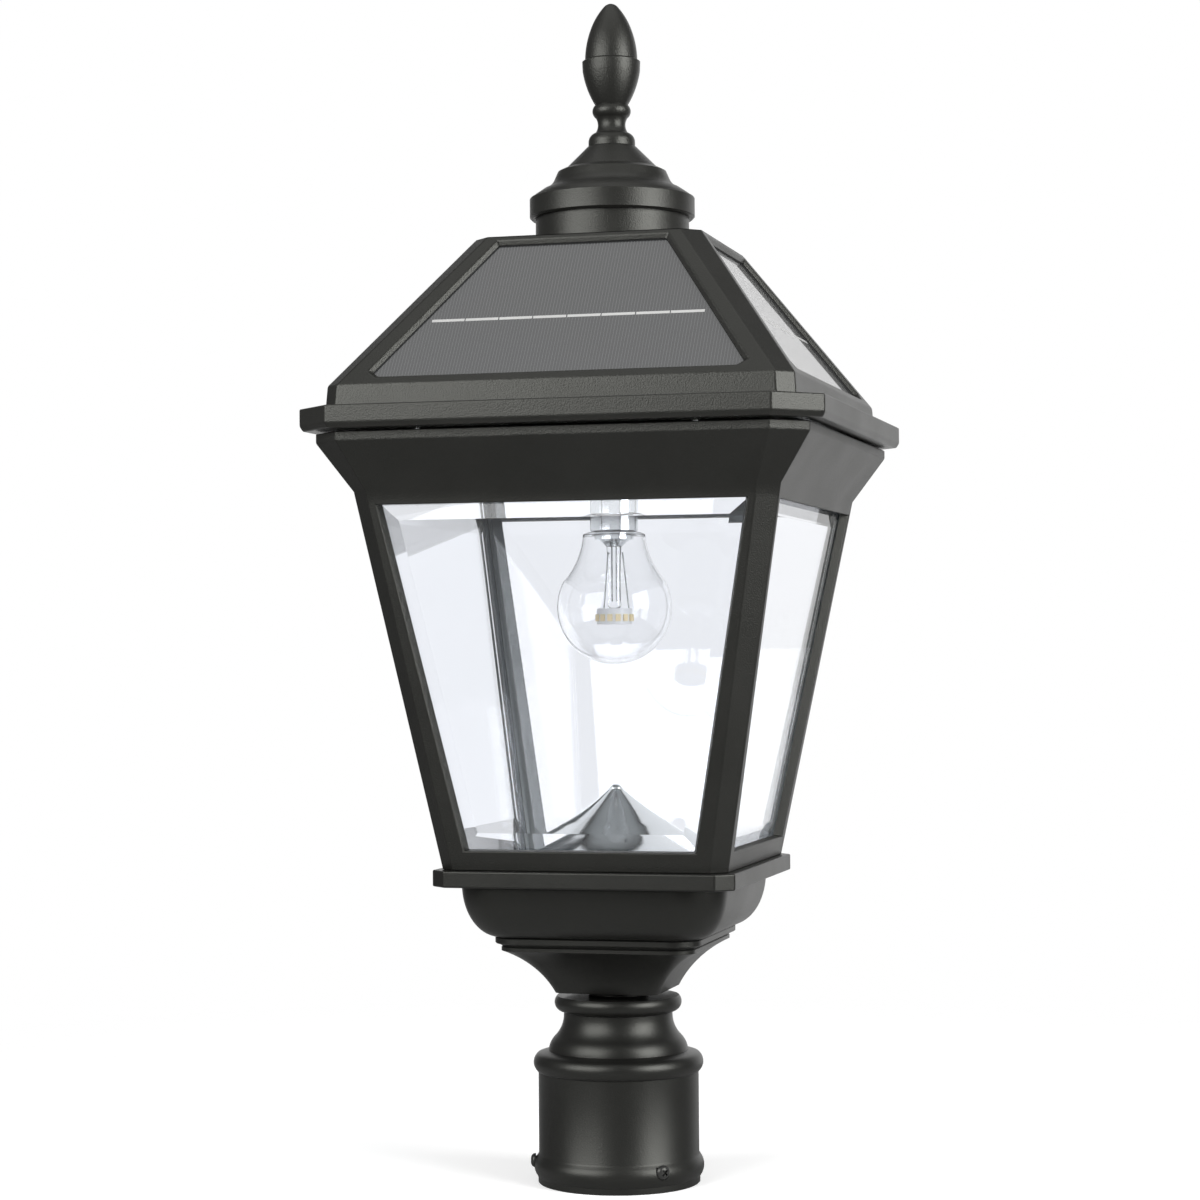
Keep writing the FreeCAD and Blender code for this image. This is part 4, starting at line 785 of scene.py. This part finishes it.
def strip_tree():
    """Geometry Nodes: a row of thin strips that start on one line and stop at the panel's sides."""
    tree = bpy.data.node_groups.new("laid_strips", "GeometryNodeTree")
    face = tree.interface
    face.new_socket("Geometry", in_out="OUTPUT", socket_type="NodeSocketGeometry")
    face.new_socket("Count", in_out="INPUT", socket_type="NodeSocketInt")
    for label in ("Pitch", "Width", "Length", "Thickness", "Foot half", "Side slope"):
        face.new_socket(label, in_out="INPUT", socket_type="NodeSocketFloat")
    face.new_socket("Material", in_out="INPUT", socket_type="NodeSocketMaterial")
    nodes, links = tree.nodes, tree.links
    given = nodes.new("NodeGroupInput").outputs

    def sum_of(operation, first, second=None):
        node = nodes.new("ShaderNodeMath")
        node.operation = operation
        for socket, value in zip(node.inputs, (first, second)):
            if isinstance(value, (int, float)):
                socket.default_value = value
            elif value is not None:
                links.new(value, socket)
        return node.outputs[0]

    half_row = sum_of("MULTIPLY", sum_of("SUBTRACT", given["Count"], 1.0), -0.5)
    start_x = sum_of("MULTIPLY", half_row, given["Pitch"])
    start = nodes.new("ShaderNodeCombineXYZ")
    links.new(start_x, start.inputs["X"])
    step = nodes.new("ShaderNodeCombineXYZ")
    links.new(given["Pitch"], step.inputs["X"])
    row = nodes.new("GeometryNodeMeshLine")
    row.mode = "OFFSET"
    links.new(given["Count"], row.inputs["Count"])
    links.new(start.outputs["Vector"], row.inputs["Start Location"])
    links.new(step.outputs["Vector"], row.inputs["Offset"])
    spot = nodes.new("ShaderNodeSeparateXYZ")
    links.new(nodes.new("GeometryNodeInputPosition").outputs["Position"], spot.inputs["Vector"])
    aside = sum_of("SUBTRACT", given["Foot half"], sum_of("ABSOLUTE", spot.outputs["X"]))
    room = sum_of("MULTIPLY", aside, given["Side slope"])
    reach = sum_of("MINIMUM", given["Length"], room)
    size = nodes.new("ShaderNodeCombineXYZ")
    links.new(given["Width"], size.inputs["X"])
    links.new(reach, size.inputs["Y"])
    links.new(given["Thickness"], size.inputs["Z"])
    shift = nodes.new("ShaderNodeCombineXYZ")
    links.new(sum_of("MULTIPLY", reach, 0.5), shift.inputs["Y"])
    laid = nodes.new("GeometryNodeInstanceOnPoints")
    links.new(row.outputs["Mesh"], laid.inputs["Points"])
    strip = nodes.new("GeometryNodeMeshCube")
    strip.inputs["Size"].default_value = (1, 1, 1)
    links.new(strip.outputs["Mesh"], laid.inputs["Instance"])
    links.new(size.outputs["Vector"], laid.inputs["Scale"])
    moved = nodes.new("GeometryNodeTranslateInstances")
    moved.inputs["Local Space"].default_value = False
    links.new(laid.outputs["Instances"], moved.inputs["Instances"])
    links.new(shift.outputs["Vector"], moved.inputs["Translation"])
    solid = nodes.new("GeometryNodeRealizeInstances")
    links.new(moved.outputs["Instances"], solid.inputs["Geometry"])
    finish = nodes.new("GeometryNodeSetMaterial")
    links.new(solid.outputs["Geometry"], finish.inputs["Geometry"])
    links.new(given["Material"], finish.inputs["Material"])
    links.new(finish.outputs["Geometry"], nodes.new("NodeGroupOutput").inputs["Geometry"])
    return tree


def laid_strips(tree, **sizes):
    """The mesh that the strip tree makes from its named sizes, in metres."""
    carrier = bpy.data.objects.new("strip_carrier", bpy.data.meshes.new("strip_carrier"))
    bpy.context.scene.collection.objects.link(carrier)
    modifier = carrier.modifiers.new("strips", "NODES")
    modifier.node_group = tree
    for item in tree.interface.items_tree:
        if item.in_out == "INPUT":
            modifier[item.identifier] = sizes[item.name.lower().replace(" ", "_")]
    mesh = bpy.data.meshes.new_from_object(
        carrier.evaluated_get(bpy.context.evaluated_depsgraph_get()))
    carrier.modifiers.clear()
    bpy.data.objects.remove(carrier)
    return mesh


finger_face = cell_glass("finger_silver", (0.060, 0.062, 0.064), (0.074, 0.076, 0.078))
busbar_metal = polished("busbar_metal", (0.80, 0.80, 0.79), 0.45)
strips = strip_tree()
rise = roof_side.rise
(cut_x, cut_z), (top_x, top_z) = inner_shape[2], inner_shape[3]
foot_line = inner_shape[1][1]
side_slope = (top_z - cut_z) / rise / (cut_x - top_x)
panel_foot_half = cut_x + (cut_z - foot_line) / rise / side_slope
fingers = laid_strips(strips, count=121, pitch=1.6 * MM, width=0.30 * MM,
                      length=(top_z - foot_line) / rise * MM, thickness=0.03 * MM,
                      foot_half=panel_foot_half * MM, side_slope=side_slope,
                      material=finger_face)
busbar_z = 441.4
busbar = laid_strips(strips, count=8, pitch=17.5 * MM, width=16.9 * MM, length=1.7 * MM,
                     thickness=0.08 * MM, foot_half=1.0, side_slope=1.0, material=busbar_metal)


def laid_in_slope(work, mesh, height, turn):
    """Adds a flat layout to a bmesh, standing on a level of one roof panel."""
    out = -roof_side.inward
    place = Matrix((Vector((1, 0, 0)), roof_side.along, out)).transposed().to_4x4()
    place.translation = roof_side.point(0, height, panel_depth) * MM
    copy = mesh.copy()
    copy.transform(Matrix.Rotation(math.radians(turn), 4, "Z") @ place)
    work.from_mesh(copy)
    bpy.data.meshes.remove(copy)


for label, mesh, height, finish in (("panel_fingers", fingers, foot_line, finger_face),
                                    ("panel_busbars", busbar, busbar_z, busbar_metal)):
    work = bmesh.new()
    for turn in sides.values():
        laid_in_slope(work, mesh, height, turn)
    dress(keep(label, work), finish, "roof", "solar_cell")


# ---- Crown ----------------------------------------------------------------------------------
# A turned drum, a stepped cap and an urn finial, clamped to the deck by a stud. Cast, turned and
# coated like the fitter.
drum_z = 501.0
drum = turned("crown_drum_wall", outline((37.1, deck_z), (40.1, deck_z), (40.1, drum_z),
                                         (37.1, drum_z)))
dress(drum, roof_coat, "roof", "black_coat", "crown_drum")
cap_rim_z, cap_z = 512.0, 538.7
cap_edge = 43.15
cap = turned("crown_cap_turned", outline(
    (34.1, drum_z), (cap_edge - 1.0, drum_z), (cap_edge, drum_z + 1.0), (cap_edge, cap_rim_z - 1.2),
    (cap_edge - 0.3, cap_rim_z - 0.2, cap_edge - 1.4, cap_rim_z), (cap_edge - 2.4, cap_rim_z + 1.2),
    (35.9, cap_rim_z + 4.5), (32.2, cap_rim_z + 6.65, 29.9, cap_rim_z + 10.2),
    (28.4, cap_rim_z + 13.6), (25.8, cap_rim_z + 14.9), (24.0, cap_rim_z + 15.6),
    (12.9, cap_z), (3.05, cap_z), (3.05, cap_z - 6.0), (11.4, cap_z - 6.0),
    (22.5, cap_rim_z + 10.2), (26.9, cap_rim_z + 4.5), (34.1, cap_rim_z - 3.0), (34.1, drum_z)),
    sharp=18)
dress(cap, roof_coat, "roof", "black_coat", "crown_cap")
urn_z = 539.0
urn = turned("urn_finial", outline(
    (0.0, urn_z), (12.2, urn_z), (12.2, urn_z + 2.4), (11.6, urn_z + 4.8, 8.6, urn_z + 7.2),
    (7.2, urn_z + 11.2, 8.3, urn_z + 15.2), (10.0, urn_z + 19.2, 8.5, urn_z + 21.9),
    (12.6, urn_z + 30.4, 15.0, urn_z + 39.6), (15.2, urn_z + 44.6), (13.7, urn_z + 45.6),
    (12.3, urn_z + 56.4, 8.9, urn_z + 65.8), (6.2, urn_z + 70.3, 3.4, urn_z + 73.8),
    (1.7, urn_z + 74.9, 0.0, urn_z + 75.3), fine=20), sharp=35)
dress(urn, roof_coat, "finial", "black_coat", "finial")


# ---- Fasteners and inner pieces -------------------------------------------------------------
# Black screws, dark glass clips, zinc-plated hardware, the pale ceiling plate and the electrics
# above it, as they come.
black_screw = coat("black_screw", (0.02, 0.02, 0.02), 0.3, 0.6, 0.1)
zinc = polished("zinc_plate", (0.62, 0.63, 0.64), 0.3)
finish_nodes(black_screw, "clamp_screw_1", "clamp_screw_2", "clamp_screw_3",
             "lock_screw_left", "lock_screw_right")
finish_nodes(zinc, "threaded_tube", "lower_tube_nut", "lower_tube_washer", "upper_tube_nut",
             "upper_tube_washer", "mirror_cone_screws", "cage_screws", "glass_clip_screws",
             "crown_stud", "crown_washer", "crown_nut", "ceiling_screws")
finish_nodes(dark_coat, "glass_clips")
finish_nodes(moulded("pale_moulding", (0.62, 0.64, 0.63), 0.55), "ceiling_plate")
black_plastic = moulded("black_moulding", (0.015, 0.015, 0.016), 0.45, 0.2)
finish_nodes(black_plastic, "lamp_socket", "battery_holder", "board_posts", "switch_housing",
             "switch_knob", "board_parts")
finish_nodes(moulded("seal_foam", (0.03, 0.03, 0.03), 0.8, 0.3), "panel_seals")
finish_nodes(moulded("cell_wrap", (0.05, 0.18, 0.42), 0.35), "battery_cells")
finish_nodes(moulded("board_green", (0.02, 0.16, 0.06), 0.4, 0.15), "circuit_board")


# ---- Studio ---------------------------------------------------------------------------------
# A white floor, clear from below, that fades into white surroundings. The light comes from a
# large softbox high in front on the left, one on the right and one overhead.
def pale_floor(radius, solid_radius):
    """A round white floor that fades out from an inner radius, grey where metal mirrors it."""
    material, nodes, links, paint = blank_surface("pale_floor")
    paint.inputs["Roughness"].default_value = 0.7
    paint.inputs["Specular IOR Level"].default_value = 0.0
    path = nodes.new("ShaderNodeLightPath")
    shade = nodes.new("ShaderNodeMix")
    shade.data_type = "RGBA"
    shade.inputs["A"].default_value = (0.95, 0.95, 0.95, 1)
    shade.inputs["B"].default_value = (0.38, 0.38, 0.38, 1)
    links.new(path.outputs["Is Glossy Ray"], shade.inputs["Factor"])
    links.new(shade.outputs["Result"], paint.inputs["Base Color"])
    lift = nodes.new("ShaderNodeMath")
    lift.operation = "MULTIPLY"
    lift.inputs[1].default_value = 0.30
    links.new(larger(nodes, links, path.outputs["Is Camera Ray"],
                     path.outputs["Is Transmission Ray"]), lift.inputs[0])
    paint.inputs["Emission Color"].default_value = (1, 1, 1, 1)
    links.new(lift.outputs["Value"], paint.inputs["Emission Strength"])
    place = nodes.new("ShaderNodeTexCoord")
    far = nodes.new("ShaderNodeVectorMath")
    far.operation = "LENGTH"
    links.new(place.outputs["Object"], far.inputs[0])
    fade = nodes.new("ShaderNodeMapRange")
    fade.interpolation_type = "SMOOTHSTEP"
    fade.inputs["From Min"].default_value = solid_radius
    fade.inputs["From Max"].default_value = radius
    links.new(far.outputs["Value"], fade.inputs["Value"])
    side = nodes.new("ShaderNodeNewGeometry")
    hidden = larger(nodes, links, fade.outputs["Result"], side.outputs["Backfacing"])
    clear = nodes.new("ShaderNodeBsdfTransparent")
    links.new(mixed(nodes, links, hidden, paint.outputs["BSDF"], clear.outputs["BSDF"]),
              nodes["Material Output"].inputs["Surface"])
    work = bmesh.new()
    bmesh.ops.create_circle(work, cap_ends=True, segments=96, radius=radius)
    mesh = bpy.data.meshes.new("pale_floor")
    work.to_mesh(mesh)
    work.free()
    mesh.materials.append(material)
    disc = bpy.data.objects.new("pale_floor", mesh)
    bpy.context.scene.collection.objects.link(disc)


def soft_light(name, place, aim, width, height, radiance):
    """A rectangular softbox of even brightness."""
    lamp = bpy.data.lights.new(name, "AREA")
    lamp.shape = "RECTANGLE"
    lamp.size, lamp.size_y = width, height
    lamp.energy = radiance * math.pi * width * height
    holder = bpy.data.objects.new(name, lamp)
    holder.location = place
    holder.rotation_euler = (Vector(aim) - Vector(place)).to_track_quat("-Z", "Y").to_euler()
    bpy.context.scene.collection.objects.link(holder)


def surroundings():
    """White to the camera and behind the lantern in reflections; a darker room in front."""
    world = bpy.data.worlds.new("white_studio")
    world.use_nodes = True
    bpy.context.scene.world = world
    nodes, links = world.node_tree.nodes, world.node_tree.links
    ambient = nodes["Background"]
    ambient.inputs["Color"].default_value = (1, 1, 1, 1)
    ambient.inputs["Strength"].default_value = 0.30
    white = nodes.new("ShaderNodeBackground")
    white.inputs["Color"].default_value = (1, 1, 1, 1)
    mirrored = nodes.new("ShaderNodeBackground")
    mirrored.inputs["Color"].default_value = (1, 1, 1, 1)
    place = nodes.new("ShaderNodeTexCoord")
    way = nodes.new("ShaderNodeSeparateXYZ")
    links.new(place.outputs["Generated"], way.inputs["Vector"])
    behind = nodes.new("ShaderNodeMapRange")
    behind.interpolation_type = "SMOOTHSTEP"
    behind.inputs["From Min"].default_value = 0.66
    behind.inputs["From Max"].default_value = 0.95
    behind.inputs["To Min"].default_value = 0.12
    behind.inputs["To Max"].default_value = 1.0
    links.new(way.outputs["Y"], behind.inputs["Value"])
    links.new(behind.outputs["Result"], mirrored.inputs["Strength"])
    path = nodes.new("ShaderNodeLightPath")
    reflected = mixed(nodes, links, path.outputs["Is Glossy Ray"],
                      ambient.outputs["Background"], mirrored.outputs["Background"])
    seen = larger(nodes, links, path.outputs["Is Camera Ray"],
                  path.outputs["Is Transmission Ray"])
    links.new(mixed(nodes, links, seen, reflected, white.outputs["Background"]),
              nodes["World Output"].inputs["Surface"])


pale_floor(radius=0.8, solid_radius=0.12)
soft_light("key_softbox", place=(-0.82, -1.20, 0.85), aim=(0, 0, 0.45),
           width=1.45, height=1.1, radiance=4.8)
soft_light("right_softbox", place=(1.30, -0.50, 0.74), aim=(0, 0, 0.40),
           width=1.0, height=1.1, radiance=7.5)
soft_light("top_softbox", place=(0.0, -0.25, 1.75), aim=(0, 0, 0.4),
           width=1.5, height=1.5, radiance=0.7)
surroundings()
bpy.context.scene.view_settings.view_transform = "Standard"
